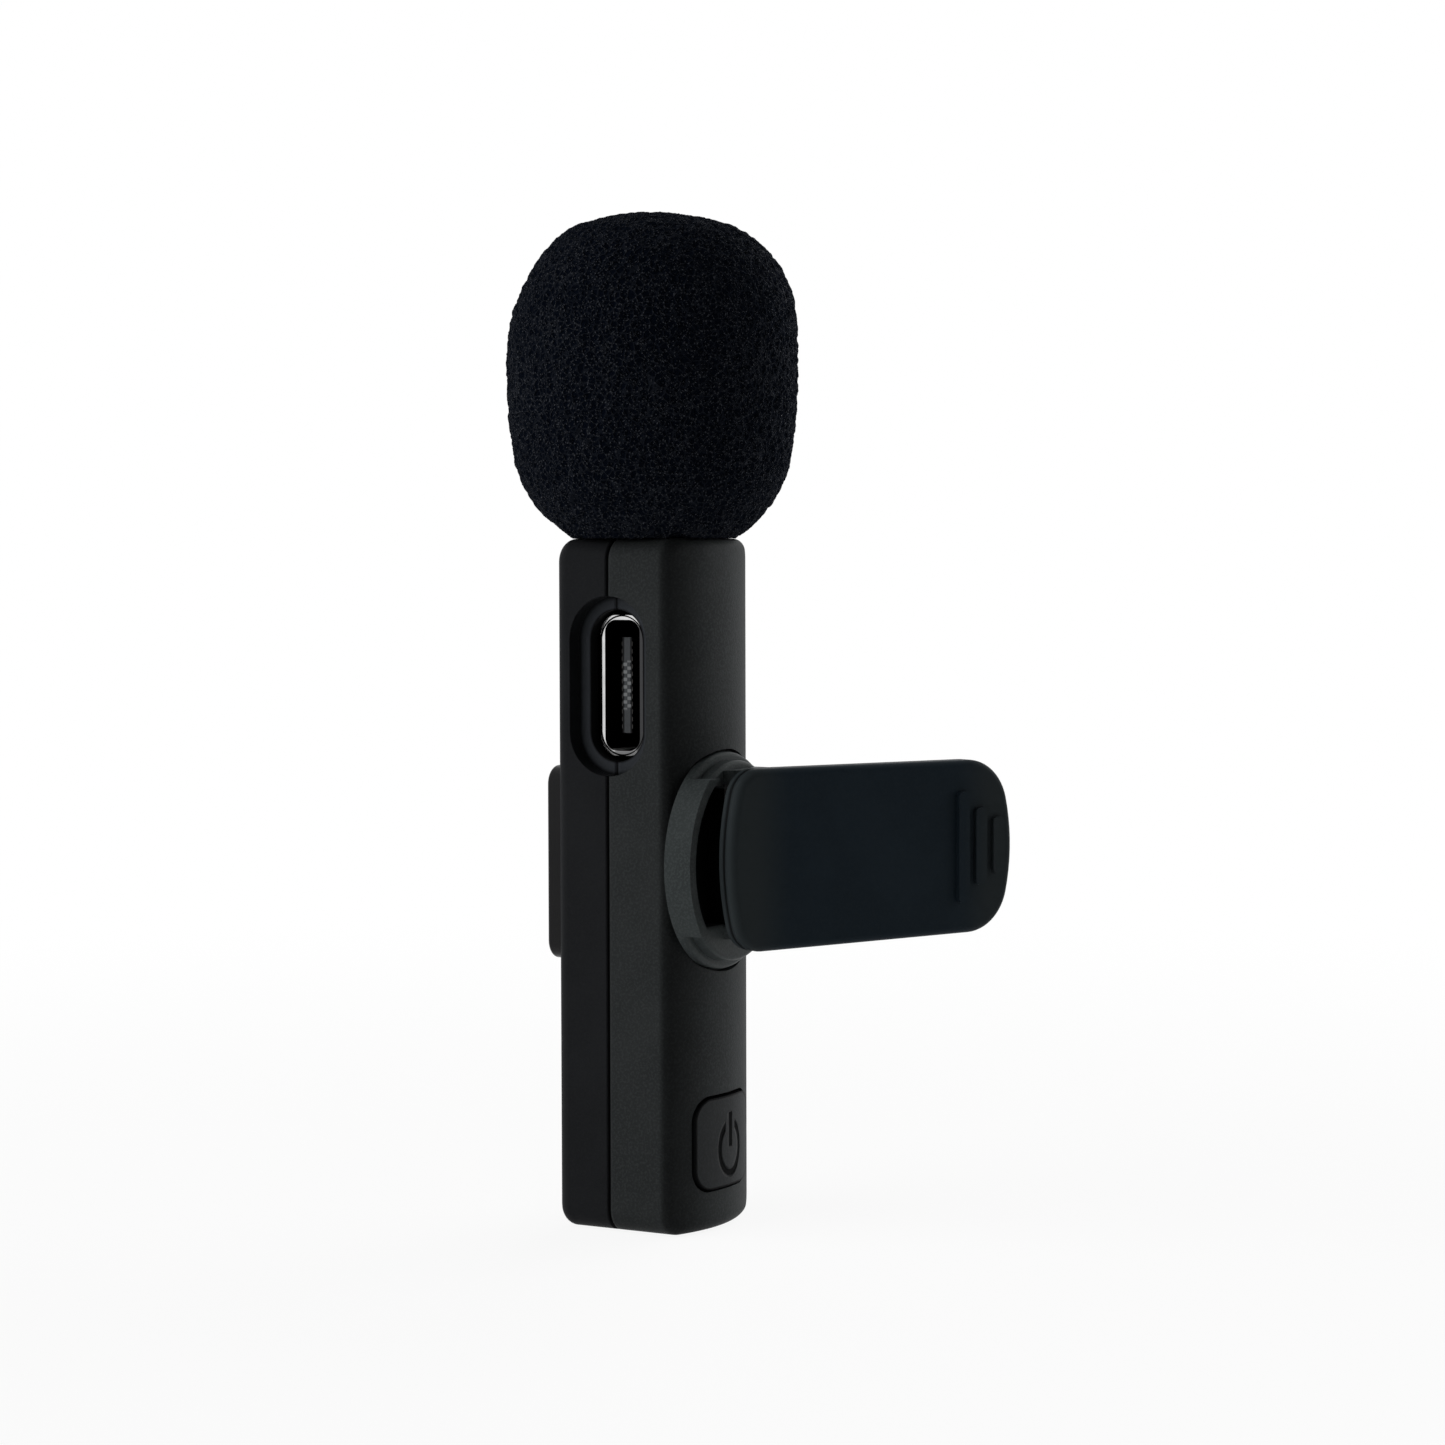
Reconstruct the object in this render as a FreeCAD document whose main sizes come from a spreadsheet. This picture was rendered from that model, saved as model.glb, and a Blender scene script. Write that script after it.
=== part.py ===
import FreeCAD, Part
import math
import os
import re
import Sketcher

# A clip-on lavalier microphone. X runs across the casing towards the socket,
# Y from the flat front to the crowned back, and Z up from the casing's foot.

Vector = FreeCAD.Vector

doc = FreeCAD.newDocument("LavalierMicrophone")
sheet = doc.addObject("Spreadsheet::Sheet", "Size")

cells = [
    # Casing
    ("caseWidth", "10.5"),
    ("caseFront", "3.95"),
    ("caseEdge", "4.2"),
    ("crownRise", "1.4"),
    ("caseHeight", "44.1"),
    ("caseCorner", "1.5"),
    ("caseWall", "1.0"),
    ("frontRound", "0.9"),
    ("backRound", "0.8"),
    ("seamBevel", "0.12"),
    ("lipThick", "0.35"),
    ("lipRise", "0.6"),
    ("slip", "0.05"),
    # Badge plate
    ("badgeWidth", "8.8"),
    ("badgeHeight", "12.45"),
    ("badgeMiddle", "23.35"),
    ("badgeCorner", "1.2"),
    ("badgeProud", "1.15"),
    ("badgeSink", "0.3"),
    ("badgeRound", "0.25"),
    # Socket
    ("portDrop", "9.33"),
    ("portLength", "8.94"),
    ("portThick", "3.16"),
    ("portCorner", "1.1"),
    ("portSheet", "0.3"),
    ("portBackGap", "0.35"),
    ("portInset", "1.85"),
    ("mouthGap", "0.355"),
    ("mouthShelf", "0.87"),
    ("recessRim", "0.87"),
    ("recessDeep", "1.18"),
    ("recessBacking", "0.7"),
    ("tongueLength", "6.1"),
    ("tongueThick", "0.7"),
    ("tongueInset", "0.6"),
    ("contactCount", "12"),
    ("contactPitch", "0.48"),
    ("contactWidth", "0.26"),
    ("contactLong", "3.2"),
    ("contactThick", "0.04"),
    # Power key and status light
    ("keyWidth", "6.65"),
    ("keyHeight", "5.8"),
    ("keyCorner", "1.4"),
    ("keyMiddle", "5.6"),
    ("keyAcross", "-0.025"),
    ("keyProud", "0.15"),
    ("keyGap", "0.18"),
    ("keyFlange", "0.35"),
    ("keyFlangeThick", "0.5"),
    ("keyTravel", "0.3"),
    ("keyStem", "1.2"),
    ("keyStemLong", "2.6"),
    ("plungerRadius", "0.9"),
    ("plungerDeep", "0.8"),
    ("pipeRadius", "0.35"),
    ("pipeGap", "0.1"),
    ("pipeSide", "1.1"),
    # Clip seat and swivel
    ("clipHeight", "23.6"),
    ("seatLevel", "5.0"),
    ("seatWall", "1.1"),
    ("seatMargin", "0.15"),
    ("discRadius", "6.95"),
    ("discThick", "0.65"),
    ("discRound", "0.3"),
    ("drumRadius", "6.4"),
    ("drumRise", "0.8"),
    ("stubRadius", "1.8"),
    ("screwRadius", "0.8"),
    ("screwHead", "1.5"),
    ("screwHeadThick", "0.6"),
    ("screwLong", "2.2"),
    ("washerRadius", "2.6"),
    ("washerThick", "0.25"),
    ("frictionRadius", "3.2"),
    ("frictionThick", "0.2"),
    # Jaw
    ("jawShift", "0.5"),
    ("jawHalf", "4.9"),
    ("jawWall", "0.75"),
    ("jawRise", "1.2"),
    ("throatHalf", "4.4"),
    ("throatBack", "1.8"),
    ("throatSink", "0.25"),
    ("cheekThick", "0.9"),
    ("cheekGap", "0.1"),
    ("cheekFoot", "2.7"),
    ("cheekRound", "1.35"),
    ("pivotAcross", "-1.0"),
    ("pivotLevel", "8.4"),
    ("pinRadius", "0.6"),
    ("pinFit", "0.04"),
    # Lever
    ("leverTilt", "24.5"),
    ("leverReach", "6.32"),
    ("leverTail", "16.6"),
    ("leverRise", "2.9"),
    ("leverThick", "1.35"),
    ("leverWidth", "11.4"),
    ("leverTailWidth", "11.25"),
    ("leverNearCorner", "2.0"),
    ("leverFarCorner", "3.3"),
    ("leverNearBend", "17"),
    ("leverFarBend", "13"),
    ("leverRound", "0.45"),
    ("lugInner", "3.4"),
    ("lugThick", "0.95"),
    ("lugRound", "1.3"),
    ("lugFront", "3.0"),
    ("lugRear", "2.2"),
    ("ridgeFirst", "1.45"),
    ("ridgePitch", "1.47"),
    ("ridgeShort", "3.7"),
    ("ridgeMiddle", "5.0"),
    ("ridgeLong", "7.2"),
    ("ridgeWide", "0.9"),
    ("ridgeCorner", "0.3"),
    ("ridgeRise", "0.3"),
    # Torsion spring
    ("springWire", "0.5"),
    ("springRadius", "1.35"),
    ("springPitch", "0.95"),
    ("springTurns", "4"),
    ("springLeg", "2.1"),
    # Head
    ("headShift", "0.3"),
    ("tubeRadius", "2.8"),
    ("tubeWall", "0.45"),
    ("tubeRise", "10.4"),
    ("tubeFlange", "0.4"),
    ("tubeFlangeThick", "0.7"),
    ("meshThick", "0.3"),
    ("meshHole", "0.21"),
    ("feltThick", "0.3"),
    ("canThick", "3.0"),
    ("capGap", "0.2"),
    ("cupThick", "0.5"),
    ("cupLip", "0.6"),
    ("micBoardThick", "0.5"),
    ("micBoardInset", "1.0"),
    ("leadRadius", "0.2"),
    ("micLeadInset", "1.0"),
    ("cellLeadReach", "1.4"),
    # Foam
    ("foamGap", "0.3"),
    ("foamLift", "0.08"),
    ("foamFoot", "5.4"),
    ("foamLow", "6.2"),
    ("foamLowRadius", "8.98"),
    ("foamHigh", "13.6"),
    ("foamHighRadius", "9.18"),
    ("foamCap", "19.7"),
    ("foamCapRadius", "5.45"),
    ("foamTop", "21.0"),
    ("foamFlareRound", "8.73"),
    ("foamSideRound", "36"),
    ("foamShoulderRound", "7.56"),
    # Circuit board and what it carries
    ("boardThick", "0.6"),
    ("boardEdge", "0.3"),
    ("boardRight", "2.9"),
    ("cellWidth", "7.6"),
    ("cellThick", "3.9"),
    ("cellGap", "0.275"),
    ("cellFootGap", "2.05"),
    ("cellRound", "0.9"),
    ("tapeThick", "0.1"),
    ("chipThick", "0.5"),
    ("chipAcross", "0.6"),
    ("radioRise", "4.0"),
    ("crystalRise", "8.5"),
    ("audioDrop", "5.0"),
    ("chargerRise", "2.0"),
    ("radioSide", "4.0"),
    ("audioSide", "3.4"),
    ("chargerSide", "2.4"),
    ("crystalLong", "1.6"),
    ("crystalWide", "1.2"),
    ("antennaLong", "5.0"),
    ("antennaWide", "1.2"),
    ("antennaThick", "0.8"),
    ("lightLong", "1.0"),
    ("lightWide", "0.6"),
    ("switchWidth", "4.2"),
    ("switchHeight", "3.2"),
    ("switchThick", "1.6"),
    ("partLong", "1.0"),
    ("partWide", "0.5"),
    ("partThick", "0.35"),
    ("partLeft", "3.2"),
    ("partRight", "1.9"),
    ("partPitch", "2.0"),
    ("partShift", "0.7"),
]
for row, (alias, amount) in enumerate(cells, 1):
    sheet.set(f"A{row}", alias)
    sheet.set(f"B{row}", amount)
    sheet.setAlias(f"B{row}", alias)
doc.recompute()

# An expression is written with the plain names above, and refer() points them at the sheet.
names = re.compile(r"\b(" + "|".join(alias for alias, amount in cells) + r")\b")
pieces = {}


def refer(text):
    return names.sub(r"Size.\1", str(text))


def number(text):
    return float(sheet.evalExpression(refer(text)))


def bind(thing, prop, text):
    thing.setExpression(prop, refer(text))


def newBody(label):
    body = doc.addObject("PartDesign::Body", label)
    pieces[label] = body
    return body


def newSketch(body, label, role, offset="0"):
    drawing = body.newObject("Sketcher::SketchObject", label)
    plane = next(f for f in body.Origin.OriginFeatures if f.Role == role)
    drawing.AttachmentSupport = [(plane, "")]
    drawing.MapMode = "FlatFace"
    bind(drawing, "AttachmentOffset.Base.z", offset)
    return drawing


def pin(drawing, edge, end, spot):
    # Ties one end of an edge to a place measured from the sketch's origin.
    for kind, text in zip(("DistanceX", "DistanceY"), spot):
        index = drawing.addConstraint(Sketcher.Constraint(kind, -1, 1, edge, end, number(text)))
        drawing.setExpression(f"Constraints[{index}]", refer(text))


def loop(drawing, corners, bends=None):
    # A closed outline. bends gives the radius of the arc that leaves a corner; a
    # positive one bulges to the right of the way the outline runs.
    bends = bends or {}
    spots = [Vector(number(x), number(y), 0) for x, y in corners]
    first = drawing.GeometryCount
    for i, start in enumerate(spots):
        end = spots[(i + 1) % len(spots)]
        if i not in bends:
            drawing.addGeometry(Part.LineSegment(start, end), False)
            continue
        radius = number(bends[i])
        chord = end - start
        half = chord.Length / 2
        sag = abs(radius) - math.sqrt(radius * radius - half * half)
        side = Vector(chord.y, -chord.x, 0).normalize() * math.copysign(sag, radius)
        middle = (start + end) * 0.5 + side
        ends = (start, middle, end) if radius > 0 else (end, middle, start)
        drawing.addGeometry(Part.Arc(*ends), False)
    # An arc always runs anticlockwise, so an inward bend is joined by its other ends.
    inward = [i for i in bends if number(bends[i]) < 0]
    for i, corner in enumerate(corners):
        edge = first + i
        after = (i + 1) % len(corners)
        endOf = 1 if i in inward else 2
        startOf = 2 if after in inward else 1
        drawing.addConstraint(
            Sketcher.Constraint("Coincident", edge, endOf, first + after, startOf)
        )
        pin(drawing, edge, 2 if i in inward else 1, corner)
    for i, radius in bends.items():
        size = abs(number(radius))
        index = drawing.addConstraint(Sketcher.Constraint("Radius", first + i, size))
        drawing.setExpression(f"Constraints[{index}]", f"abs({refer(radius)})")


def rectangle(drawing, left, right, low, high):
    loop(drawing, [(left, low), (right, low), (right, high), (left, high)])


def roundedRectangle(drawing, x, y, width, height, corner):
    w, t, r = f"({width})/2", f"({height})/2", f"({corner})"
    loop(
        drawing,
        [
            (f"{x}-{w}+{r}", f"{y}-{t}"),
            (f"{x}+{w}-{r}", f"{y}-{t}"),
            (f"{x}+{w}", f"{y}-{t}+{r}"),
            (f"{x}+{w}", f"{y}+{t}-{r}"),
            (f"{x}+{w}-{r}", f"{y}+{t}"),
            (f"{x}-{w}+{r}", f"{y}+{t}"),
            (f"{x}-{w}", f"{y}+{t}-{r}"),
            (f"{x}-{w}", f"{y}-{t}+{r}"),
        ],
        {1: corner, 3: corner, 5: corner, 7: corner},
    )


def stadium(drawing, middle, length, width):
    # A slot shape that stands on end, with its centre on the sketch's upright axis.
    r = f"({width})/2"
    a = f"({length})/2-{r}"
    loop(
        drawing,
        [
            (r, f"{middle}-({a})"),
            (r, f"{middle}+({a})"),
            ("0", f"{middle}+({length})/2"),
            (f"-{r}", f"{middle}+({a})"),
            (f"-{r}", f"{middle}-({a})"),
            ("0", f"{middle}-({length})/2"),
        ],
        {1: r, 2: r, 4: r, 5: r},
    )


def circle(drawing, x, y, radius):
    spot = Vector(number(x), number(y), 0)
    edge = drawing.addGeometry(Part.Circle(spot, Vector(0, 0, 1), number(radius)), False)
    pin(drawing, edge, 3, (x, y))
    index = drawing.addConstraint(Sketcher.Constraint("Radius", edge, number(radius)))
    drawing.setExpression(f"Constraints[{index}]", refer(radius))


def pad(body, label, drawing, length, flip=False):
    solid = body.newObject("PartDesign::Pad", label)
    solid.Profile = (drawing, [""])
    bind(solid, "Length", length)
    solid.Reversed = flip
    doc.recompute()
    return solid


def pocket(body, label, drawing, length, flip=False, bothWays=False):
    before = body.Tip.Shape.Volume
    cut = body.newObject("PartDesign::Pocket", label)
    cut.Profile = (drawing, [""])
    bind(cut, "Length", length)
    cut.Reversed = flip
    if bothWays:
        cut.SideType = "Symmetric"
    doc.recompute()
    if cut.Shape.Volume > before - 1e-6:
        raise ValueError(f"{label} cuts nothing")
    return cut


def edgesOf(feature, test):
    return [f"Edge{i}" for i, edge in enumerate(feature.Shape.Edges, 1) if test(edge)]


def dress(body, kind, label, base, test, size):
    feature = body.newObject("PartDesign::" + kind, label)
    feature.Base = (base, edgesOf(base, test))
    bind(feature, "Radius" if kind == "Fillet" else "Size", size)
    doc.recompute()
    return feature


def flatAt(edge, axis, level):
    box = edge.BoundBox
    low, high = getattr(box, axis + "Min"), getattr(box, axis + "Max")
    return abs(low - level) < 1e-4 and abs(high - level) < 1e-4


def runsAlong(edge, axis):
    box = edge.BoundBox
    spans = {name: getattr(box, name + "Length") for name in "XYZ"}
    longest = spans.pop(axis)
    return longest > 1e-3 and max(spans.values()) < 1e-4


def block(label, xs, ys, zs, keep=True):
    box = doc.addObject("Part::Box", label)
    for prop, axis, (low, high) in (("Length", "x", xs), ("Width", "y", ys), ("Height", "z", zs)):
        bind(box, prop, f"({high})-({low})")
        bind(box, f"Placement.Base.{axis}", low)
    if keep:
        pieces[label] = box
    return box


def rod(label, axis, foot, radius, length, keep=True):
    turns = {"X": (Vector(0, 1, 0), 90), "Y": (Vector(1, 0, 0), -90), "Z": (Vector(0, 0, 1), 0)}
    cylinder = doc.addObject("Part::Cylinder", label)
    cylinder.Placement = FreeCAD.Placement(Vector(0, 0, 0), FreeCAD.Rotation(*turns[axis]))
    bind(cylinder, "Radius", radius)
    bind(cylinder, "Height", length)
    for name, text in zip("xyz", foot):
        bind(cylinder, f"Placement.Base.{name}", text)
    if keep:
        pieces[label] = cylinder
    return cylinder


def combine(kind, label, first, second):
    result = doc.addObject("Part::" + kind, label)
    if kind == "Compound":
        result.Links = first
    else:
        result.Base = first
        result.Tool = second
    pieces[label] = result
    return result


# Places that several pieces share
half = "caseWidth/2"
portHeight = "(caseHeight-portDrop)"
apex = "(caseEdge+crownRise)"
crownRadius = "(((caseWidth/2)^2+crownRise^2)/(2*crownRise))"
ceiling = "(seatLevel-seatWall)"
innerHalf = "(caseWidth/2-caseWall)"
portFront = "(caseWidth/2-portInset)"
portDeep = "(caseWidth-portInset-caseWall-portBackGap)"
mouthBack = "(caseWidth/2-recessDeep-mouthShelf)"
mouthLength = "(portLength+2*mouthGap)"
mouthThick = "(portThick+2*mouthGap)"
recessLength = "(portLength+2*mouthGap+2*recessRim)"
recessThick = "(portThick+2*mouthGap+2*recessRim)"
blockHalf = f"({recessLength}/2+recessBacking)"
boardTop = "(-portThick/2)"
boardUnder = "(-portThick/2-boardThick)"
discTop = "(seatLevel+slip+discThick)"
drumTop = "(seatLevel+slip+discThick+drumRise)"
jawMiddle = "(clipHeight+jawShift)"
cheekInner = "(lugInner+lugThick+cheekGap)"
pipeHole = "(pipeRadius+slip)"
pipeAcross = "(caseWidth/2-pipeSide)"


def crownAt(x, lift="0"):
    radius = f"({crownRadius}+{lift})"
    return f"({apex}-{crownRadius}+sqrt({radius}^2-({x})^2))"


def crownCut(body, lift="0"):
    # Takes away all that stands above the crown, or above a crown raised by lift.
    wide = half
    level = crownAt(wide, lift)
    over = f"{apex}+2*caseWall"
    drawing = newSketch(body, body.Label + "CrownOutline", "XY_Plane")
    loop(
        drawing,
        [
            (f"-{wide}-caseWall", level),
            (f"-{wide}", level),
            (wide, level),
            (f"{wide}+caseWall", level),
            (f"{wide}+caseWall", over),
            (f"-{wide}-caseWall", over),
        ],
        {1: f"-({crownRadius}+{lift})"},
    )
    return pocket(body, body.Label + "Crown", drawing, "3*caseHeight", bothWays=True)


def cavity(body, depth, flip):
    # The hollow steps inwards behind the socket, which leaves a block round its mouth.
    low, high = f"{portHeight}-{blockHalf}", f"{portHeight}+{blockHalf}"
    drawing = newSketch(body, body.Label + "HollowOutline", "XZ_Plane")
    loop(
        drawing,
        [
            (f"-{innerHalf}", "caseWall"),
            (innerHalf, "caseWall"),
            (innerHalf, low),
            (mouthBack, low),
            (mouthBack, high),
            (innerHalf, high),
            (innerHalf, "caseHeight-caseWall"),
            (f"-{innerHalf}", "caseHeight-caseWall"),
        ],
    )
    return pocket(body, body.Label + "Hollow", drawing, depth, flip)


def portCuts(body):
    recess = newSketch(body, body.Label + "RecessOutline", "YZ_Plane", half)
    stadium(recess, portHeight, recessLength, recessThick)
    pocket(body, body.Label + "Recess", recess, "recessDeep")
    mouth = newSketch(body, body.Label + "MouthOutline", "YZ_Plane", half)
    stadium(mouth, portHeight, mouthLength, mouthThick)
    pocket(body, body.Label + "Mouth", mouth, "recessDeep+mouthShelf+slip")


def headHole(body):
    drawing = newSketch(body, body.Label + "HeadOutline", "XY_Plane", "caseHeight")
    circle(drawing, "0", "headShift", "tubeRadius+slip")
    pocket(body, body.Label + "HeadHole", drawing, "caseWall+slip")


def ring(drawing, inset, thick):
    # Two nested rectangles, inset from the cavity's own rectangle.
    for grow in (inset, f"({inset}+{thick})"):
        side = f"({innerHalf}+{grow})"
        rectangle(
            drawing, f"-{side}", side, f"caseWall-{grow}", f"caseHeight-caseWall+{grow}"
        )


# Front shell
shell = newBody("front_shell")
outline = newSketch(shell, "frontOutline", "XZ_Plane")
rectangle(outline, f"-{half}", half, "0", "caseHeight")
solid = pad(shell, "frontBlock", outline, "caseFront")
solid = dress(shell, "Fillet", "frontCorners", solid, lambda e: runsAlong(e, "Y"), "caseCorner")
face = -number("caseFront")
solid = dress(shell, "Fillet", "frontEdge", solid, lambda e: flatAt(e, "Y", face), "frontRound")
solid = dress(shell, "Chamfer", "frontSeam", solid, lambda e: flatAt(e, "Y", 0), "seamBevel")
lip = newSketch(shell, "frontLipOutline", "XZ_Plane")
ring(lip, "slip", "lipThick")
pad(shell, "frontLip", lip, "lipRise", True)
cavity(shell, "caseFront-caseWall", True)
portCuts(shell)
headHole(shell)
seat = newSketch(shell, "badgeSeatOutline", "XZ_Plane", "caseFront")
roundedRectangle(
    seat, "0", "badgeMiddle", "badgeWidth+2*slip", "badgeHeight+2*slip", "badgeCorner+slip"
)
pocket(shell, "badgeSeat", seat, "badgeSink")
groove = newSketch(shell, "frontPipeOutline", "XZ_Plane", "-lipRise")
circle(groove, f"-{pipeAcross}", "keyMiddle", pipeHole)
pocket(shell, "frontPipeGroove", groove, f"lipRise-{boardTop}", True)

# Back shell
shell = newBody("back_shell")
outline = newSketch(shell, "backOutline", "XZ_Plane")
rectangle(outline, f"-{half}", half, "0", "caseHeight")
pad(shell, "backBlock", outline, apex, True)
solid = crownCut(shell)
solid = dress(shell, "Fillet", "backCorners", solid, lambda e: runsAlong(e, "Y"), "caseCorner")
edgeLevel = number("caseEdge") - 0.4


def onCrown(edge):
    return edge.BoundBox.YMin > edgeLevel


solid = dress(shell, "Fillet", "backEdge", solid, onCrown, "backRound")
solid = dress(shell, "Chamfer", "backSeam", solid, lambda e: flatAt(e, "Y", 0), "seamBevel")
rebate = newSketch(shell, "backRebateOutline", "XZ_Plane")
ring(rebate, "0", "(lipThick+2*slip)")
pocket(shell, "backRebate", rebate, "lipRise+slip")
cavity(shell, ceiling, False)
portCuts(shell)
headHole(shell)
above = f"-{apex}"
seat = newSketch(shell, "clipSeatOutline", "XZ_Plane", above)
circle(seat, "0", "clipHeight", "discRadius+seatMargin")
pocket(shell, "clipSeat", seat, f"{apex}-seatLevel", True)
hole = newSketch(shell, "stubHoleOutline", "XZ_Plane", "-seatLevel")
circle(hole, "0", "clipHeight", "stubRadius+slip")
pocket(shell, "stubHole", hole, "seatWall+slip", True)
hole = newSketch(shell, "keyHoleOutline", "XZ_Plane", above)
roundedRectangle(
    hole, "keyAcross", "keyMiddle", "keyWidth+2*keyGap", "keyHeight+2*keyGap", "keyCorner+keyGap"
)
pocket(shell, "keyHole", hole, f"{apex}-{ceiling}+slip", True)
hole = newSketch(shell, "pipeHoleOutline", "XZ_Plane", above)
circle(hole, f"-{pipeAcross}", "keyMiddle", pipeHole)
pocket(shell, "pipeHole", hole, apex, True)

# Badge plate, set into the front face and left bare
badge = newBody("badge_plate")
outline = newSketch(badge, "badgeOutline", "XZ_Plane", "caseFront-badgeSink")
roundedRectangle(outline, "0", "badgeMiddle", "badgeWidth", "badgeHeight", "badgeCorner")
solid = pad(badge, "badgeBlock", outline, "badgeSink+badgeProud")
face = -number("caseFront+badgeProud")
dress(badge, "Fillet", "badgeEdge", solid, lambda e: flatAt(e, "Y", face), "badgeRound")

# Power key: a crowned cap with a flange inside the shell and a stem on the switch
key = newBody("power_button")
keyFlangeTop = f"({ceiling}-slip)"
outline = newSketch(key, "keyOutline", "XZ_Plane", f"-({keyFlangeTop}-keyFlangeThick)")
roundedRectangle(outline, "keyAcross", "keyMiddle", "keyWidth", "keyHeight", "keyCorner")
pad(key, "keyBlock", outline, f"{apex}+keyProud-{keyFlangeTop}+keyFlangeThick+slip", True)
crownCut(key, "keyProud")
outline = newSketch(key, "keyFlangeOutline", "XZ_Plane", f"-({keyFlangeTop}-keyFlangeThick)")
roundedRectangle(
    outline,
    "keyAcross",
    "keyMiddle",
    "keyWidth+2*keyFlange",
    "keyHeight+2*keyFlange",
    "keyCorner+keyFlange",
)
pad(key, "keyFlangeBlock", outline, "keyFlangeThick", True)
outline = newSketch(key, "keyStemOutline", "XZ_Plane", f"-({keyFlangeTop}-keyFlangeThick)")
circle(outline, "0", "keyMiddle", "keyStem")
pad(key, "keyStemBlock", outline, "keyStemLong")
stemFoot = f"({keyFlangeTop}-keyFlangeThick-keyStemLong)"

# Light pipe, from the status light up to the crown
pipe = newBody("light_pipe")
pipeFoot = f"({boardTop}+chipThick+pipeGap)"
outline = newSketch(pipe, "pipeOutline", "XZ_Plane", f"-{pipeFoot}")
circle(outline, f"-{pipeAcross}", "keyMiddle", "pipeRadius")
pad(pipe, "pipeRod", outline, f"{apex}-{pipeFoot}", True)
crownCut(pipe)

# Clip base: disc, drum, lower jaw, two cheeks and the stub that turns in the shell
base = newBody("clip_base")
discUnder = "(seatLevel+slip)"
outline = newSketch(base, "discOutline", "XZ_Plane", f"-{discUnder}")
circle(outline, "0", "clipHeight", "discRadius")
solid = pad(base, "disc", outline, "discThick", True)
face = number(discTop)
dress(base, "Fillet", "discEdge", solid, lambda e: flatAt(e, "Y", face), "discRound")
outline = newSketch(base, "drumOutline", "XZ_Plane", f"-{discTop}")
circle(outline, "0", "clipHeight", "drumRadius")
solid = pad(base, "drum", outline, "drumRise", True)
face = number(drumTop)
dress(base, "Fillet", "drumEdge", solid, lambda e: flatAt(e, "Y", face), "discRound")

# The lower jaw is a curved wall on the disc's edge, with a sunk throat behind it
jawInner = "(discRadius-jawWall)"


def onRing(radius, rise):
    return f"sqrt({radius}^2-({rise})^2)"


outline = newSketch(base, "jawOutline", "XZ_Plane", f"-{discUnder}")
loop(
    outline,
    [
        (onRing(jawInner, "jawHalf-jawShift"), f"{jawMiddle}-jawHalf"),
        (onRing("discRadius", "jawHalf-jawShift"), f"{jawMiddle}-jawHalf"),
        (onRing("discRadius", "jawHalf+jawShift"), f"{jawMiddle}+jawHalf"),
        (onRing(jawInner, "jawHalf+jawShift"), f"{jawMiddle}+jawHalf"),
    ],
    {1: "discRadius", 3: f"-{jawInner}"},
)
pad(base, "jaw", outline, "discThick+jawRise", True)
outline = newSketch(base, "throatOutline", "XZ_Plane", f"-{drumTop}")
loop(
    outline,
    [
        ("throatBack", f"{jawMiddle}-throatHalf"),
        (onRing(jawInner, "throatHalf-jawShift"), f"{jawMiddle}-throatHalf"),
        (onRing(jawInner, "throatHalf+jawShift"), f"{jawMiddle}+throatHalf"),
        ("throatBack", f"{jawMiddle}+throatHalf"),
    ],
    {1: jawInner},
)
pocket(base, "throat", outline, "drumRise+throatSink", True)
for side, level in (
    ("low", f"{jawMiddle}-{cheekInner}-cheekThick"),
    ("high", f"{jawMiddle}+{cheekInner}"),
):
    outline = newSketch(base, side + "CheekOutline", "XY_Plane", level)
    loop(
        outline,
        [
            ("-cheekFoot", f"{discTop}-slip"),
            ("cheekFoot", f"{discTop}-slip"),
            ("pivotAcross+cheekRound", "pivotLevel"),
            ("pivotAcross", "pivotLevel+cheekRound"),
            ("pivotAcross-cheekRound", "pivotLevel"),
        ],
        {2: "cheekRound", 3: "cheekRound"},
    )
    pad(base, side + "Cheek", outline, "cheekThick")
outline = newSketch(base, "pinHoleOutline", "XY_Plane", f"{jawMiddle}+{cheekInner}+cheekThick")
circle(outline, "pivotAcross", "pivotLevel", "pinRadius+pinFit/2")
pocket(base, "pinHole", outline, f"2*({cheekInner}+cheekThick)")
outline = newSketch(base, "stubOutline", "XZ_Plane", f"-{discUnder}")
circle(outline, "0", "clipHeight", "stubRadius")
pad(base, "stub", outline, "seatWall+2*slip")
stubFoot = f"({ceiling}-slip)"
outline = newSketch(base, "threadOutline", "XZ_Plane", f"-{stubFoot}")
circle(outline, "0", "clipHeight", "screwRadius+pinFit/2")
pocket(base, "thread", outline, "screwLong")

# Swivel hardware inside the back shell
friction = rod("frictionDisc", "Y", ("0", f"{stubFoot}-frictionThick", "clipHeight"),
               "frictionRadius", "frictionThick", keep=False)
bore = rod("frictionBore", "Y", ("0", f"{stubFoot}-frictionThick", "clipHeight"),
           "screwRadius+slip", "frictionThick", keep=False)
combine("Cut", "swivel_ring", friction, bore)
washerFoot = f"({stubFoot}-frictionThick-washerThick)"
washer = rod("washerDisc", "Y", ("0", washerFoot, "clipHeight"),
             "washerRadius", "washerThick", keep=False)
bore = rod("washerBore", "Y", ("0", washerFoot, "clipHeight"),
           "screwRadius+slip", "washerThick", keep=False)
combine("Cut", "swivel_washer", washer, bore)

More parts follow.
